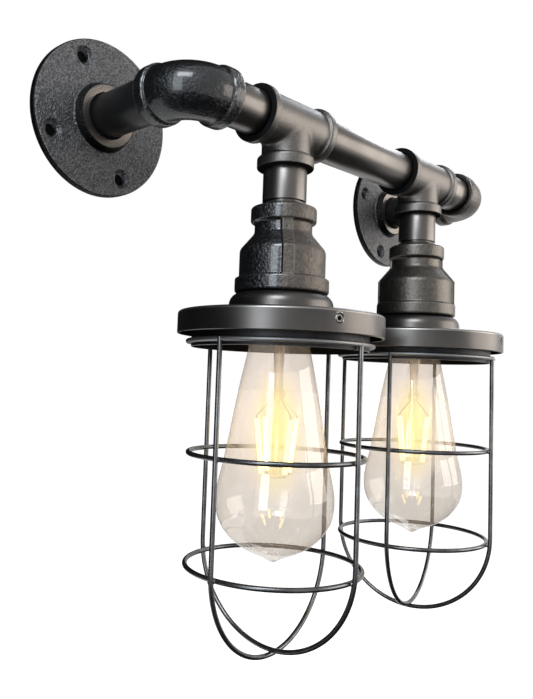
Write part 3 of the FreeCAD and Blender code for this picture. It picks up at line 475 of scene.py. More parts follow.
def plainFinish(name, dark, pale, gloss, metal, grain=900.0):
    made = Finish(name)
    spots = made.place()
    colour = made.blend(made.noise(spots, plainGrain["cloud"]), dark, pale)
    fine = made.noise(spots, grain, 2.0)
    rough = gloss + plainGrain["spread"] * fine
    return made.done(made.grained(colour, metal, rough, fine, plainGrain["depth"]))


finishes = {
    "barSteel": satinSteel("bar_steel", steelLook["bare"], (0.25, 1.0, 1.0)),
    "armSteel": satinSteel("arm_steel", steelLook["black"], (1.0, 0.25, 1.0)),
    "dropSteel": satinSteel("drop_steel", steelLook["bare"], (1.0, 1.0, 0.25)),
    "leftElbow": castIron("left_elbow_iron", castLook["elbow"]),
    "rightElbow": castIron("right_elbow_iron_sidelit", castLook["sideLitElbow"]),
    "leftReducer": sideLitIron("left_reducer_iron", "left", castLook["reducer"]),
    "rightReducer": castIron("right_reducer_iron_sidelit", castLook["sideLitReducer"]),
    "wire": wireSteel("wire_steel", wireLook["wire"]),
    "supportWire": plainFinish("support_wire", (0.45, 0.42, 0.38), (0.60, 0.57, 0.52), 0.30, 1.0),
    "screw": plainFinish("screw_steel", (0.10, 0.10, 0.10), (0.22, 0.21, 0.20), 0.28, 0.9),
    "brass": plainFinish("brass", (0.55, 0.40, 0.17), (0.68, 0.52, 0.26), 0.25, 1.0),
    "moulding": plainFinish("moulding", (0.02, 0.02, 0.02), (0.035, 0.035, 0.035), 0.45, 0.0),
    "glass": thinGlass("bulb_glass", glassLook["bulb"]),
    "stem": thinGlass("stem_glass", glassLook["stem"]),
    "filament": glowing("filament"),
    "glow": glowHaze("filament_glow"),
    "sheath": plainFinish("lead_sheath", (0.03, 0.03, 0.03), (0.05, 0.05, 0.05), 0.5, 0.0),
    "earthSheath": plainFinish("earth_sheath", (0.10, 0.25, 0.03), (0.45, 0.42, 0.04), 0.5, 0.0, 300.0),
    "splice": plainFinish("splice_sheath", (0.50, 0.48, 0.43), (0.62, 0.60, 0.55), 0.5, 0.0),
}
for side in sides:
    finishes[side + "Flange"] = flangeIron(side + "_flange_iron", side, castLook["flange"])
    finishes[side + "Tee"] = teeIron(side + "_tee_iron", side, castLook["tee"])
    finishes[side + "Cap"] = spunSteel(side + "_spun_steel", side)
    finishes[side + "Ring"] = wireSteel(side + "_ring_steel", wireLook["ring"], side)

sideFinish = {
    # finish: the nodes of each side that have it
    "armSteel": ("arm_pipe",),
    "barSteel": ("end_nipple",),
    "dropSteel": ("drop_nipple",),
    "wire": ("cage_bow_1", "cage_bow_2", "upper_hoop", "lower_hoop"),
    "brass": ("holder_sleeve", "holder_shell", "terminals", "bulb_cap"),
    "moulding": ("holder_body", "bulb_contact"),
    "sheath": ("lamp_leads",),
    "glass": ("bulb_glass",),
    "stem": ("bulb_stem",),
    "filament": ("filaments",),
    "screw": ("set_screw_1", "set_screw_2", "set_screw_3"),
}

barFinish = {
    "bar_pipe": "barSteel", "supply_leads": "sheath", "cross_leads": "sheath", "splice_caps": "splice",
    "earth_lead": "earthSheath",
}


def dress(node, finish):
    mesh = nodes[node].data
    mesh.materials.clear()
    mesh.materials.append(finishes[finish])


def dressNodes():
    for side in sides:
        for finish, names in sideFinish.items():
            for name in names:
                dress("%s_%s" % (side, name), finish)
        for name in ("flange", "elbow", "tee", "reducer", "cap"):
            dress("%s_%s" % (side, name), side + name.capitalize())
        dress(side + "_cage_ring", side + "Ring")
        dress(side + "_cage_bead", side + "Ring")
    for node, finish in barFinish.items():
        dress(node, finish)


# ---- shaping helpers

def roundCorner(shape, corner, radius, steps):
    # Rounds one corner of an outline to a radius.
    ways = [(edge.other_vert(corner).co - corner.co).normalized() for edge in corner.link_edges]
    reach = radius / math.tan(ways[0].angle(ways[1]) / 2)
    bmesh.ops.bevel(shape, geom=[corner], offset=reach, affect="VERTICES", segments=steps, profile=0.5,
                    material=-1)


def spun(outline, centre, axis, steps=96, bends=4):
    # Turns an outline of (along, out, rounding) points, in millimetres, round an axis; an outline that
    # starts away from the axis is closed first.
    shape = bmesh.new()
    out = axis.orthogonal().normalized()
    corners = [shape.verts.new(centre + (axis * point[0] + out * point[1]) * mm) for point in outline]
    for first, second in zip(corners, corners[1:] + (corners[:1] if outline[0][1] > 0.0 else [])):
        shape.edges.new((first, second))
    for corner, point in zip(corners, outline):
        if len(point) == 3:
            roundCorner(shape, corner, point[2] * mm, bends)
    bmesh.ops.spin(shape, geom=shape.verts[:] + shape.edges[:], cent=centre, axis=axis,
                   angle=2 * math.pi, steps=steps, use_merge=True)
    return tidied(shape)


def tidied(shape):
    bmesh.ops.remove_doubles(shape, verts=shape.verts, dist=0.000002)
    bmesh.ops.recalc_face_normals(shape, faces=shape.faces)
    return shape


def drawnOut(shape, faces, way):
    # Extrudes faces along a way; the faces at its far end come back.
    made = bmesh.ops.extrude_face_region(shape, geom=faces)["geom"]
    bmesh.ops.translate(shape, verts=[part for part in made if isinstance(part, bmesh.types.BMVert)], vec=way)
    return facesOf(made)


def facesOf(parts):
    return [part for part in parts if isinstance(part, bmesh.types.BMFace)]


def moved(shape, way):
    bmesh.ops.translate(shape, verts=shape.verts, vec=way)


def setOnLamp(shape, side, degrees):
    # Turns a shape drawn round the origin and moves it to a lamp's axis.
    bmesh.ops.rotate(shape, verts=shape.verts, cent=(0.0, 0.0, 0.0),
                     matrix=Matrix.Rotation(math.radians(degrees), 3, "Z"))
    moved(shape, onLamp(side))


def aimed(spot, way):
    # The place at a spot whose own Z points along a way.
    return Matrix.Translation(spot) @ way.to_track_quat("Z", "Y").to_matrix().to_4x4()


def joined(shapes):
    # Several shapes in one, the first taking in the rest.
    whole = shapes[0]
    for shape in shapes[1:]:
        mesh = bpy.data.meshes.new("part")
        shape.to_mesh(mesh)
        shape.free()
        whole.from_mesh(mesh)
        bpy.data.meshes.remove(mesh)
    return whole


def asObject(name, shape):
    mesh = bpy.data.meshes.new(name)
    shape.to_mesh(mesh)
    shape.free()
    made = bpy.data.objects.new(name, mesh)
    bpy.context.scene.collection.objects.link(made)
    return made


def worked(block):
    # The shape that a working object has once its modifiers are applied; the object goes.
    result = block.evaluated_get(bpy.context.evaluated_depsgraph_get())
    mesh = bpy.data.meshes.new_from_object(result)
    bpy.data.objects.remove(block)
    shape = bmesh.new()
    shape.from_mesh(mesh)
    bpy.data.meshes.remove(mesh)
    return shape


def cast(shapes, grain, rounds):
    # Overlapping solids become one skin, and its corners go soft as a casting's do.
    block = asObject("casting", joined(shapes))
    skin = block.modifiers.new("skin", "REMESH")
    skin.mode = "VOXEL"
    skin.voxel_size = grain * mm
    soft = block.modifiers.new("soft", "SMOOTH")
    soft.factor = 0.5
    soft.iterations = rounds
    return worked(block)


def bored(shape, tools):
    # Cuts the tools' room out of a shape.
    block = asObject("blank", shape)
    tool = asObject("tool", joined(tools))
    cut = block.modifiers.new("cut", "BOOLEAN")
    cut.operation = "DIFFERENCE"
    cut.solver = "MANIFOLD"
    cut.object = tool
    shape = worked(block)
    bpy.data.objects.remove(tool)
    return shape


def boredOut(shape, outlines, centre, axis):
    # Cuts turned hollows out of a shape, one after another.
    for outline in outlines:
        shape = bored(shape, [spun(outline, centre, axis)])
    return shape


wornAt = {
    # the skin's curvature, per metre, at which rubbing starts and is full
    "casting": (350.0, 1000.0), "wire": (1500.0, 3000.0), "glass": (3000.0, 6000.0),
    "rod": (5000.0, 9000.0), "fineWire": (9000.0, 19000.0),
}


def markWear(shape, low, high):
    # How tightly the skin turns outwards, from 0 to 1 between two curvatures, for worn edges.
    layer = shape.verts.layers.float.new("wear")
    shape.normal_update()
    for corner in shape.verts:
        edges, faces = corner.link_edges, corner.link_faces
        bend = sum(max(0.0, edge.calc_face_angle_signed(0.0)) * edge.calc_length() for edge in edges) / 2
        room = sum(face.calc_area() / len(face.verts) for face in faces)
        share = (bend / room - low) / (high - low) if room > 0.0 else 0.0
        corner[layer] = min(1.0, max(0.0, share))


def newPiece(name, shape, finish, body, stoodFor=(), worn="casting", sharp=32.0):
    markWear(shape, *wornAt[worn])
    piece = asObject(name, shape)
    piece.data.shade_smooth()
    piece.data.set_sharp_from_angle(angle=math.radians(sharp))
    piece.data.materials.append(finishes[finish])
    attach(piece, body)
    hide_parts(*stoodFor)
    return piece


# ---- floor and light

stageLook = {
    "floorDrop": 0.62, "floorSize": 60.0, "floorGlow": 0.80, "ambient": 0.35,
    "speck": 40.0, "colours": ((0.80, 0.80, 0.80), (0.792, 0.792, 0.792)),
}

lightAim = Vector((0.0, barAxis.y, -0.08))

lamps = {
    # name: where, how wide and high, watts, colour
    "frontStrip": ((-1.10, -0.46, 0.06), (0.34, 0.95), 7.2, (0.84, 0.92, 1.0)),
    "sideBox": ((0.86, -0.98, 0.16), (1.20, 0.85), 16.0, (1.0, 0.92, 0.84)),
    "topBox": ((-0.84, -0.52, 0.72), (0.48, 0.36), 12.5, (0.88, 0.94, 1.0)),
    "backBox": ((0.87, 0.12, 0.72), (0.40, 0.30), 3.0, (0.86, 0.92, 1.0)),
}

flags = {
    # name: middle, and size; black cards that only reflections see
    "wallSideFlag": ((-0.15, 0.80, -0.05), (2.60, 2.00)),
    "leftFlag": ((-0.95, 0.16, 0.0), (0.62, 2.00)),
    "highFlag": ((0.0, 0.35, 0.80), (2.00, 1.20)),
    "lowFlag": ((0.0, -0.10, -0.60), (2.20, 1.80)),
}

bulbLight = {"height": -155.0, "watts": 0.10, "size": 0.008, "colour": (1.0, 0.72, 0.34)}


def seenShare(made):
    # One for camera, glossy and transmission rays.
    seen, glossy, through = (
        made.node("LightPath", {}, {}, "Is %s Ray" % kind) for kind in ("Camera", "Glossy", "Transmission"))
    return made.greatest(made.greatest(seen, glossy), through)


def staged(name, shape, finish, unseenBy=()):
    # Something round the object, hidden from the kinds of rays that are named.
    prop = asObject(name, shape)
    prop.data.materials.append(finish)
    for rays in unseenBy:
        setattr(prop, "visible_" + rays, False)


def speckled(made, look):
    # A matte surface with a faint speckle.
    colour = made.blend(made.noise(made.place(), look["speck"]), *look["colours"])
    return made.node("BsdfDiffuse", {}, {"Color": colour})


def makeStage():
    made = Finish("floor")
    matte = speckled(made, stageLook)
    glow = made.plain("Emission", white, Strength=stageLook["floorGlow"])
    both = made.node("AddShader", {}, {0: matte, 1: glow})
    finish = made.done(made.mixed(seenShare(made), matte, both))
    shape = bmesh.new()
    bmesh.ops.create_grid(shape, x_segments=1, y_segments=1, size=stageLook["floorSize"] / 2)
    moved(shape, (0.0, 0.0, -stageLook["floorDrop"]))
    staged("floor", shape, finish)


feltLook = {"speck": 60.0, "colours": ((0.010, 0.010, 0.010), (0.014, 0.014, 0.014))}


def makeFlags():
    made = Finish("felt")
    finish = made.done(speckled(made, feltLook))
    for name, (spot, size) in flags.items():
        shape = bmesh.new()
        bmesh.ops.create_grid(shape, x_segments=1, y_segments=1, size=0.5)
        bmesh.ops.scale(shape, verts=shape.verts, vec=(*size, 1.0))
        bmesh.ops.transform(shape, verts=shape.verts, matrix=aimed(spot, lightAim - Vector(spot)))
        staged(name, shape, finish, ("camera", "transmission", "diffuse", "shadow"))


wallShade = {"radius": 0.034, "behind": 0.0004, "speck": 300.0,
             "colours": ((0.008, 0.008, 0.008), (0.014, 0.014, 0.014))}


def makeWallShade(side):
    # Painted shade: a dark disc standing for the wall's shade, which shows through the screw holes; clear
    # from behind.
    made = Finish(side + "Shade")
    dark = speckled(made, wallShade)
    rear = made.node("NewGeometry", {}, {}, "Backfacing")
    finish = made.done(made.mixed(rear, dark, made.plain("BsdfTransparent", white)))
    shape = bmesh.new()
    spot = flangeCentre[side] + Vector((0.0, wallShade["behind"], 0.0))
    bmesh.ops.create_circle(shape, cap_ends=True, segments=64, radius=wallShade["radius"],
                            matrix=Matrix.Translation(spot) @ Matrix.Rotation(math.pi / 2, 4, "X"))
    staged(side + "Shade", shape, finish, ("diffuse", "glossy", "shadow"))


def makeLight():
    world = bpy.context.scene.world or bpy.data.worlds.new("room")
    bpy.context.scene.world = world
    made = Finish("room", world)
    seen = made.plain("Background", white, Strength=1.0)
    room = made.plain("Background", white, Strength=stageLook["ambient"])
    made.done(made.mixed(seenShare(made), room, seen), "OutputWorld")
    for name, (spot, size, watts, colour) in lamps.items():
        light = bpy.data.lights.new(name, "AREA")
        light.shape = "RECTANGLE"
        light.size, light.size_y = size
        light.energy = watts
        light.color = colour
        lamp = bpy.data.objects.new(name, light)
        lamp.location = spot
        lamp.rotation_euler = (lightAim - Vector(spot)).to_track_quat("-Z", "Y").to_euler()
        bpy.context.scene.collection.objects.link(lamp)


def makeBulbLight(side):
    # The light of the filaments, which the bulb's own glass catches.
    light = bpy.data.lights.new(side + "BulbLight", "POINT")
    light.energy = bulbLight["watts"]
    light.color = bulbLight["colour"]
    light.shadow_soft_size = bulbLight["size"]
    lamp = bpy.data.objects.new(side + "BulbLight", light)
    lamp.location = onLamp(side, bulbLight["height"])
    lamp.visible_camera = lamp.visible_transmission = lamp.visible_glossy = False
    bpy.context.scene.collection.objects.link(lamp)


bpy.context.scene.view_settings.view_transform = "Standard"
makeCamera()
makeStage()
makeFlags()
makeLight()
for side in sides:
    makeBulbLight(side)
    makeWallShade(side)
dressNodes()
print("stage, light and finishes ready")


# ---- pipes

pipeShape = {
    "out": 10.67, "bore": 7.90, "edge": 0.6,
    "lead": 0.5, "threaded": 8.6, "pitch": 1.81, "crest": 0.45, "cut": 0.42,
    "groove": 1.5, "grooveWide": 1.1, "grooveSlope": 0.15,
}

pipeRuns = {
    # node: finish, body, threads left showing at the low end
    "bar_pipe": ("barSteel", "pipework", 0),
    "left_arm_pipe": ("armSteel", "pipework", 0),
    "right_arm_pipe": ("armSteel", "pipework", 0),
    "left_end_nipple": ("barSteel", "pipework", 0),
    "right_end_nipple": ("barSteel", "pipework", 0),
    "left_drop_nipple": ("dropSteel", "left_head", 2),
    "right_drop_nipple": ("dropSteel", "right_head", 2),
}


def threadLine(start, way, turns, grooved):
    # Crests and roots of a pipe thread, from one end of the pipe inwards, and the groove it runs out into.
    look = pipeShape
    out, pitch = look["out"], look["pitch"]
    points = []
    for turn in range(turns):
        place = start + way * (look["edge"] + look["lead"] + turn * pitch)
        points += [(place, out), (place + way * pitch * look["crest"], out - look["cut"])]
    place = start + way * (look["edge"] + look["lead"] + turns * pitch)
    points.append((place, out))
    if grooved:
        wide, slope, low = way * look["grooveWide"], look["grooveSlope"], out - look["groove"]
        points += [(place + wide * slope, low), (place + wide * (1 - slope), low), (place + wide, out)]
    return points


def makePipe(node):
    finish, body, shows = pipeRuns[node]
    low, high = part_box(node)
    size = high - low
    along = max(range(3), key=lambda axis: size[axis])
    axis = Vector([float(place == along) for place in range(3)])
    half = size[along] / 2 / mm
    edge, out, bore = pick(pipeShape, "edge out bore")
    turns = int(pipeShape["threaded"] / pipeShape["pitch"])
    outline = [(-half, bore), (-half, out - edge), (-half + edge, out)]
    outline += threadLine(-half, 1.0, turns + shows, shows > 0)
    outline += threadLine(half, -1.0, turns, False)[::-1]
    outline += [(half - edge, out), (half, out - edge), (half, bore)]
    newPiece(node + "_turned", spun(outline, (low + high) / 2, axis), finish, body, [node])


# ---- floor flanges

flangeShape = {
    # outlines by height over the wall, radius and rounding
    "plate": [(0.0, 11.32), (0.0, 38.25, 0.4), (4.0, 38.25, 1.2), (4.0, 17.02, 0.7), (8.6, 15.52, 0.45),
              (8.6, 11.52), (7.8, 10.72), (0.6, 10.72)],
    "drill": [(-1.0, 0.0), (-1.0, 3.1), (2.3, 3.1, 0.4), (4.3, 5.1), (4.3, 0.0)],
    "holeReach": 30.25, "firstHole": {"left": 24.5, "right": 73.6},
}


def makeFlange(side):
    look = flangeShape
    centre, out = flangeCentre[side], Vector((0.0, -1.0, 0.0))
    drills = []
    for number in range(4):
        turn = math.radians(look["firstHole"][side] + 90.0 * number)
        spot = centre + Vector((math.cos(turn), 0.0, math.sin(turn))) * look["holeReach"] * mm
        drills.append(spun(look["drill"], spot, out, steps=40))
    body = bored(spun(look["plate"], centre, out, steps=160), drills)
    newPiece(side + "_flange_cast", body, side + "Flange", "pipework", [side + "_flange"])


# ---- elbows

elbowShape = {
    "out": 12.62, "bore": 8.5, "bend": 13.92,
    # outlines at a mouth, by the way out from the corner, radius and rounding
    "arm": [(13.42, 0.0), (13.42, 12.62), (20.62, 12.62), (20.62, 0.0)],
    "band": [(15.22, 0.0), (15.22, 13.92, 1.1), (21.62, 13.92, 0.9), (21.62, 0.0)],
    "socket": [(11.62, 0.0), (11.62, 10.72), (20.92, 10.72), (22.12, 11.92), (22.12, 0.0)],
    "throat": [(12.92, 0.0), (12.92, 8.5), (12.12, 8.5), (12.12, 0.0)],
    "grain": 0.42, "rounds": 3,
}


def elbowSolid(corner, toward, radius):
    # A quarter bend from the mouth on the bar side to the mouth on the wall side.
    bend = elbowShape["bend"] * mm
    shape = bmesh.new()
    bmesh.ops.create_circle(
        shape, cap_ends=True, segments=64, radius=radius * mm,
        matrix=Matrix.Translation((toward * bend, 0.0, 0.0)) @ Matrix.Rotation(math.pi / 2, 4, "Y"))
    bmesh.ops.spin(shape, geom=shape.faces[:], cent=(toward * bend, bend, 0.0), axis=(0.0, 0.0, 1.0),
                   angle=-toward * math.pi / 2, steps=20)
    bmesh.ops.recalc_face_normals(shape, faces=shape.faces)
    moved(shape, corner)
    return shape


def makeElbow(side):
    look = elbowShape
    corner = Vector((flangeCentre[side].x, barAxis.y, 0.0))
    toward = 1.0 if side == "left" else -1.0  # the way along X to the bar
    mouths = Vector((toward, 0.0, 0.0)), Vector((0.0, 1.0, 0.0))
    solids = [elbowSolid(corner, toward, look["out"])]
    solids += [spun(outline, corner, mouth) for mouth in mouths for outline in pick(look, "arm band")]
    body = cast(solids, look["grain"], look["rounds"])
    body = bored(body, [elbowSolid(corner, toward, look["bore"])])
    for mouth in mouths:
        body = boredOut(body, pick(look, "socket throat"), corner, mouth)
    newPiece(side + "_elbow_cast", body, side + "Elbow", "pipework", [side + "_elbow"])


# ---- tees

teeShape = {
    # outlines by the way along the run or down the branch, radius and rounding
    "run": [(-22.47, 0.0), (-22.47, 12.22), (22.47, 12.22), (22.47, 0.0)],
    "branch": [(0.0, 0.0), (0.0, 11.92), (21.37, 11.92), (21.37, 0.0)],
    "runBand": [(18.67, 0.0), (18.67, 13.92, 1.1), (23.47, 13.92, 0.9), (23.47, 0.0)],
    "branchBand": [(16.57, 0.0), (16.57, 13.92, 1.1), (22.37, 13.92, 0.9), (22.37, 0.0)],
    "runBore": [(-13.67, 0.0), (-13.67, 8.5), (13.67, 8.5), (13.67, 0.0)],
    "highSocket": [(13.17, 0.0), (13.17, 10.72), (22.87, 10.72), (23.77, 11.62), (23.77, 0.0)],
    "lowSocket": [(-13.17, 0.0), (-13.17, 10.72), (-22.87, 10.72), (-23.77, 11.62), (-23.77, 0.0)],
    "branchBore": [(0.0, 0.0), (0.0, 8.5), (12.87, 8.5), (12.87, 0.0)],
    "branchSocket": [(12.37, 0.0), (12.37, 10.72), (21.77, 10.72), (22.67, 11.62), (22.67, 0.0)],
    "coreGrain": 0.6, "coreRounds": 26, "grain": 0.42, "rounds": 3,
}


def makeTee(side):
    look = teeShape
    centre, run, down = onLamp(side), Vector((1.0, 0.0, 0.0)), -upward
    core = cast([spun(look["run"], centre, run), spun(look["branch"], centre, down)],
                look["coreGrain"], look["coreRounds"])
    bands = [spun(look["runBand"], centre, run), spun(look["runBand"], centre, -run),
             spun(look["branchBand"], centre, down)]
    body = cast([core] + bands, look["grain"], look["rounds"])
    body = boredOut(body, pick(look, "runBore highSocket lowSocket"), centre, run)
    body = boredOut(body, pick(look, "branchBore branchSocket"), centre, down)
    newPiece(side + "_tee_cast", body, side + "Tee", side + "_head", [side + "_tee"])


# ---- bell reducers

reducerShape = {
    # outlines by height, radius and rounding
    "bell": [(-41.47, 0.0), (-41.47, 15.92, 1.3), (-49.07, 15.92, 1.0), (-49.07, 13.92, 0.9),
             (-54.37, 13.92, 3.0), (-62.57, 20.75, 3.5), (-76.07, 20.75, 0.5), (-76.07, 22.65, 0.8),
             (-83.17, 22.65, 1.1), (-83.17, 0.0)],
    "socket": [(-41.17, 0.0), (-41.17, 11.92), (-42.37, 10.72), (-51.47, 10.72), (-51.47, 0.0)],
    "inside": [(-50.97, 0.0), (-50.97, 8.5), (-54.47, 8.5), (-62.57, 17.25), (-66.37, 17.25),
               (-67.07, 16.55), (-83.67, 16.55), (-83.67, 0.0)],
    "rib": [(-48.07, 10.92), (-48.07, 15.22), (-54.37, 15.22), (-62.57, 22.05),
            (-77.07, 22.05), (-77.07, 17.75), (-62.57, 17.75), (-54.37, 10.92)],
    "ribWide": 5.2, "firstRib": {"left": 228.2, "right": 301.0}, "grain": 0.45, "rounds": 2,
}


def ribSolid(side, number):
    # One casting rib, drawn as an outline down the side and given its width.
    look = reducerShape
    wide = look["ribWide"] * mm
    shape = bmesh.new()
    corners = [shape.verts.new((out * mm, -wide / 2, high * mm)) for high, out in look["rib"]]
    drawnOut(shape, [shape.faces.new(corners)], (0.0, wide, 0.0))
    setOnLamp(shape, side, look["firstRib"][side] + 180.0 * number)
    return tidied(shape)


def makeReducer(side):
    look = reducerShape
    centre = onLamp(side)
    bell = spun(look["bell"], centre, upward)
    body = cast([bell, ribSolid(side, 0), ribSolid(side, 1)], look["grain"], look["rounds"])
    body = boredOut(body, pick(look, "socket inside"), centre, upward)
    newPiece(side + "_reducer_cast", body, side + "Reducer", side + "_head",
             [side + "_reducer"])


# ---- spun caps and set screws

capShape = {
    # outlines by height, radius and rounding
    "shell": [(-83.17, 16.55), (-83.17, 25.1, 6.0), (-93.17, 25.1, 0.6), (-93.17, 49.2, 1.5),
              (-103.77, 49.2, 0.45), (-103.77, 48.0, 0.45), (-94.37, 48.0, 0.6), (-94.37, 23.9, 0.9),
              (-84.37, 23.9, 4.8), (-84.37, 16.55)],
    # the same for a screw's hole and welded nut, by the way out from the lamp's axis
    "drill": [(44.0, 0.0), (44.0, 2.05), (48.85, 2.05), (49.7, 2.9), (49.7, 0.0)],
    "nut": [(45.0, 2.05), (45.0, 3.5, 0.4), (48.4, 3.5), (48.4, 2.05)],
    "screwHigh": -97.57, "firstScrew": {"left": 251.3, "right": 281.8},
}


def screwPlace(side, number):
    # Where a screw's axis starts, and its way out.
    return onLamp(side, capShape["screwHigh"]), turnedOut(capShape["firstScrew"][side] + 120.0 * number)


def makeCap(side):
    look = capShape
    shell = spun(look["shell"], onLamp(side), upward, steps=192, bends=6)
    drills = [spun(look["drill"], *screwPlace(side, number), steps=32) for number in range(3)]
    nuts = [spun(look["nut"], *screwPlace(side, number), steps=32) for number in range(3)]
    newPiece(side + "_cap_spun", joined([bored(shell, drills)] + nuts), side + "Cap", side + "_head",
             [side + "_cap"])


screwShape = {
    "stud": [(42.4, 0.0), (42.4, 1.5), (42.9, 2.0), (48.7, 2.0), (49.0, 1.65), (49.0, 0.0)],
    "keyEnd": 49.0, "key": 1.155, "keyLong": 6.0,
}


def makeScrew(side, number):
    look = screwShape
    spot, out = screwPlace(side, number)
    stud = spun(look["stud"], spot, out, steps=36)
    key = bmesh.new()
    bmesh.ops.create_cone(key, cap_ends=True, segments=6, radius1=look["key"] * mm, radius2=look["key"] * mm,
                          depth=look["keyLong"] * mm, matrix=aimed(spot + out * look["keyEnd"] * mm, out))
    name = "%s_set_screw_%d" % (side, number + 1)
    newPiece(name + "_turned", bored(stud, [tidied(key)]), "screw", "%s_screw_%d" % (side, number + 1),
             [name])


# ---- cages

cageShape = {
    # outlines by height, radius and rounding
    "ring": [(-109.97, 41.2, 0.3), (-109.97, 42.3, 0.3), (-95.17, 42.3, 0.3), (-95.17, 41.2, 0.3)],
    "bead": [(-108.47, 42.1), (-108.47, 44.9, 1.05), (-106.27, 44.9, 1.05), (-106.27, 42.1)],
    "wire": 1.15, "reach": 43.95, "wireTop": -106.27, "wireRound": 0.45, "bendStart": -207.17,
    "bowStep": 2.33, "weld": 1.2, "turn": {"left": 5.2, "right": 104.0},
    "upper": (-159.47, 41.62), "lower": (-210.57, 41.17),  # heights and radii of the hoops
}


def makeRing(side):
    rings = [spun(cageShape[name], onLamp(side), upward, steps=144, bends=bends)
             for name, bends in (("ring", 3), ("bead", 5))]
    newPiece(side + "_cage_ring_turned", joined(rings), side + "Ring", side + "_cage",
             [side + "_cage_ring", side + "_cage_bead"])


def makeBow(side, number):
    # One wire down, round below the bulb and up again.
    look = cageShape
    reach, top = look["reach"] * mm, look["wireTop"] * mm
    start = (look["bendStart"] + number * look["bowStep"]) * mm
    shape = bmesh.new()
    bmesh.ops.create_circle(shape, cap_ends=True, segments=20, radius=look["wire"] * mm,
                            matrix=Matrix.Translation((-reach, 0.0, top)))
    foot = drawnOut(shape, shape.faces[:], (0.0, 0.0, start - top))
    bent = bmesh.ops.spin(shape, geom=foot, cent=(0.0, 0.0, start), axis=(0.0, 1.0, 0.0), angle=-math.pi,
                          steps=56)["geom_last"]
    drawnOut(shape, facesOf(bent), (0.0, 0.0, top - start))
    tidied(shape)
    rims = [edge for edge in shape.edges if edge.calc_face_angle(0.0) > 1.0]
    bmesh.ops.bevel(shape, geom=rims, offset=look["wireRound"] * mm, affect="EDGES", segments=3, profile=0.5,
                    material=-1)
    setOnLamp(shape, side, look["turn"][side] + 90.0 * number)
    name = "%s_cage_bow_%d" % (side, number + 1)
    newPiece(name + "_bent", shape, "wire", side + "_cage", [name], worn="wire")


def makeHoop(side, name):
    look = cageShape
    height, radius = look[name]
    shape = bmesh.new()
    bmesh.ops.create_circle(
        shape, segments=20, radius=look["wire"] * mm,
        matrix=Matrix.Translation((radius * mm, 0.0, 0.0)) @ Matrix.Rotation(math.pi / 2, 4, "X"))
    bmesh.ops.spin(shape, geom=shape.verts[:] + shape.edges[:], cent=(0.0, 0.0, 0.0), axis=(0.0, 0.0, 1.0),
                   angle=2 * math.pi, steps=120, use_merge=True)
    moved(shape, onLamp(side, height))
    tidied(shape)
    for number in range(4):  # spot welds on the uprights
        out = turnedOut(look["turn"][side] + 90.0 * number)
        spot = onLamp(side, height) + out * (radius + look["wire"]) * mm
        bmesh.ops.create_icosphere(shape, subdivisions=2, radius=look["weld"] * mm,
                                   matrix=Matrix.Translation(spot))
    node = "%s_%s_hoop" % (side, name)
    newPiece(node + "_bent", shape, "wire", side + "_cage", [node], worn="wire")


# ---- bulbs

bulbShape = {
    "line": [  # height and radius, from the neck down to the drawn tip
        (-93.0, 12.55), (-95.5, 12.6), (-98.5, 12.7), (-105.0, 13.75), (-113.0, 15.5), (-120.0, 17.0),
        (-133.9, 19.8), (-144.0, 21.5), (-152.5, 22.9), (-160.0, 24.3), (-166.4, 25.6), (-172.0, 26.95),
        (-176.5, 27.85), (-181.0, 28.1), (-186.0, 27.7), (-190.0, 26.6), (-194.5, 24.0), (-198.4, 20.6),
        (-201.6, 16.6), (-203.9, 12.4), (-205.4, 8.6), (-206.6, 5.6), (-207.7, 3.6), (-208.6, 2.2),
        (-209.2, 0.9), (-209.3, 0.0),
    ],
}


def makeGlass(side):
    line = bulbShape["line"]
    shape = spun([(line[0][0], 0.0)] + line, onLamp(side), upward)
    glass = newPiece(side + "_bulb_glass_blown", shape, "glass", side + "_bulb",
                     [side + "_bulb_glass"], worn="glass", sharp=60.0)
    smooth = glass.modifiers.new("smooth", "SUBSURF")
    smooth.levels = smooth.render_levels = 1


glowShape = {"middle": -150.0, "tall": 34.0, "wide": 19.0}


def makeGlow(side):
    look = glowShape
    shape = bmesh.new()
    bmesh.ops.create_uvsphere(shape, u_segments=48, v_segments=32, radius=mm)
    bmesh.ops.scale(shape, verts=shape.verts, vec=(look["wide"], look["wide"], look["tall"]))
    moved(shape, onLamp(side, look["middle"]))
    glow = newPiece(side + "_filament_glow", shape, "glow", side + "_bulb", worn="glass",
                    sharp=180.0)
    glow.visible_shadow = glow.visible_diffuse = glow.visible_glossy = False


stemShape = {
    "line": [  # height, radius and rounding: the flare, the waist, the stem, its button and the rod below
        (-93.9, 0.0), (-93.9, 10.0), (-94.9, 10.0, 0.4), (-98.9, 3.4, 3.0), (-101.9, 2.2, 2.0),
        (-128.37, 2.2, 0.8), (-129.87, 3.3, 0.9), (-132.37, 3.3, 0.9), (-133.37, 0.8, 0.3),
        (-170.87, 0.8, 0.6), (-170.87, 0.0),
    ],
}


def makeStem(side):
    shape = spun(stemShape["line"], onLamp(side), upward, steps=40)
    newPiece(side + "_bulb_stem_drawn", shape, "stem", side + "_bulb", [side + "_bulb_stem"],
             worn="glass")


filamentShape = {
    "topOut": 11.4, "lowOut": 7.6, "low": -169.4, "high": -141.0, "first": 344.0,
    "rod": (1.1, 0.5),  # radius and rounding
    "hub": -132.0, "hubOut": 1.7, "foot": 0.6, "wire": 0.22, "tab": 1.6, "tabRadius": 0.42,
    "firstLead": 90.0, "leadOut": 3.6, "leadTop": -99.0, "leadRadius": 0.32,
}


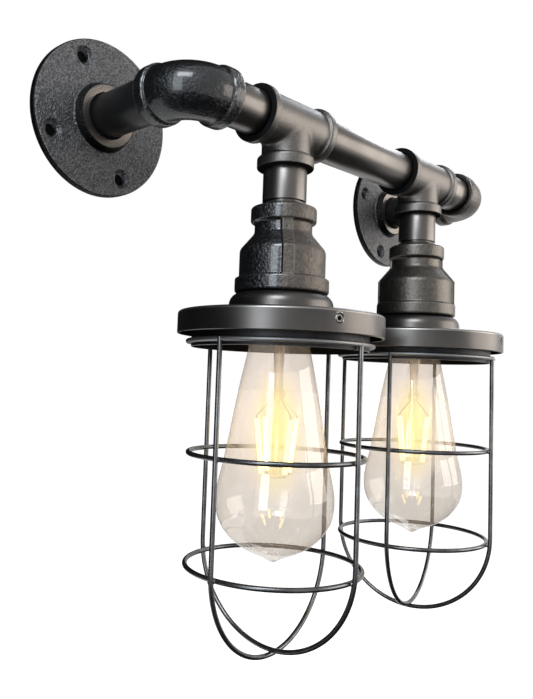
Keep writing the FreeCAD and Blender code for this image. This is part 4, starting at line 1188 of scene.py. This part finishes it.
def strut(shape, start, end, radius):
    # A straight thin wire between two points; its radius is in millimetres.
    bmesh.ops.create_cone(shape, cap_ends=True, segments=8, radius1=radius * mm, radius2=radius * mm,
                          depth=(end - start).length, matrix=aimed((start + end) / 2, end - start))


def makeFilaments(side):
    look = filamentShape
    hub = onLamp(side, look["hub"])
    foot = onLamp(side, stemShape["line"][-1][0] + look["foot"])
    rods, wires = [], bmesh.new()
    for number in range(4):
        out = turnedOut(look["first"] + 90.0 * number)
        top = onLamp(side, look["high"]) + out * look["topOut"] * mm
        low = onLamp(side, look["low"]) + out * look["lowOut"] * mm
        way = (top - low).normalized()
        lit = (top - low).length / 2 / mm - look["tab"]
        rod = [(-lit, 0.0), (-lit, *look["rod"]), (lit, *look["rod"]), (lit, 0.0)]
        rods.append(spun(rod, (top + low) / 2, way, steps=20, bends=3))
        tab = way * look["tab"] * mm
        strut(wires, top - tab, top, look["tabRadius"])
        strut(wires, low + tab, low, look["tabRadius"])
        strut(wires, top, hub + out * look["hubOut"] * mm, look["wire"])
        strut(wires, low, foot, look["wire"])
    for number in range(2):
        out = turnedOut(look["firstLead"] + 180.0 * number)
        high = onLamp(side, look["leadTop"]) + out * look["leadOut"] * mm
        strut(wires, high, hub + out * look["hubOut"] * mm, look["leadRadius"])
    newPiece(side + "_filaments_lit", joined(rods), "filament", side + "_bulb",
             [side + "_filaments"], worn="rod")
    newPiece(side + "_filament_wires", tidied(wires), "supportWire", side + "_bulb",
             worn="fineWire")


# ---- putting the light together

for node in pipeRuns:
    makePipe(node)
print("pipes ready")
for side in sides:
    makeFlange(side)
    makeElbow(side)
    makeTee(side)
    makeReducer(side)
    print(side, "castings ready")
    makeCap(side)
    for number in range(3):
        makeScrew(side, number)
    makeRing(side)
    for number in range(2):
        makeBow(side, number)
    for name in ("upper", "lower"):
        makeHoop(side, name)
    print(side, "cap and cage ready")
    makeGlass(side)
    makeStem(side)
    makeFilaments(side)
    makeGlow(side)
    print(side, "bulb ready")
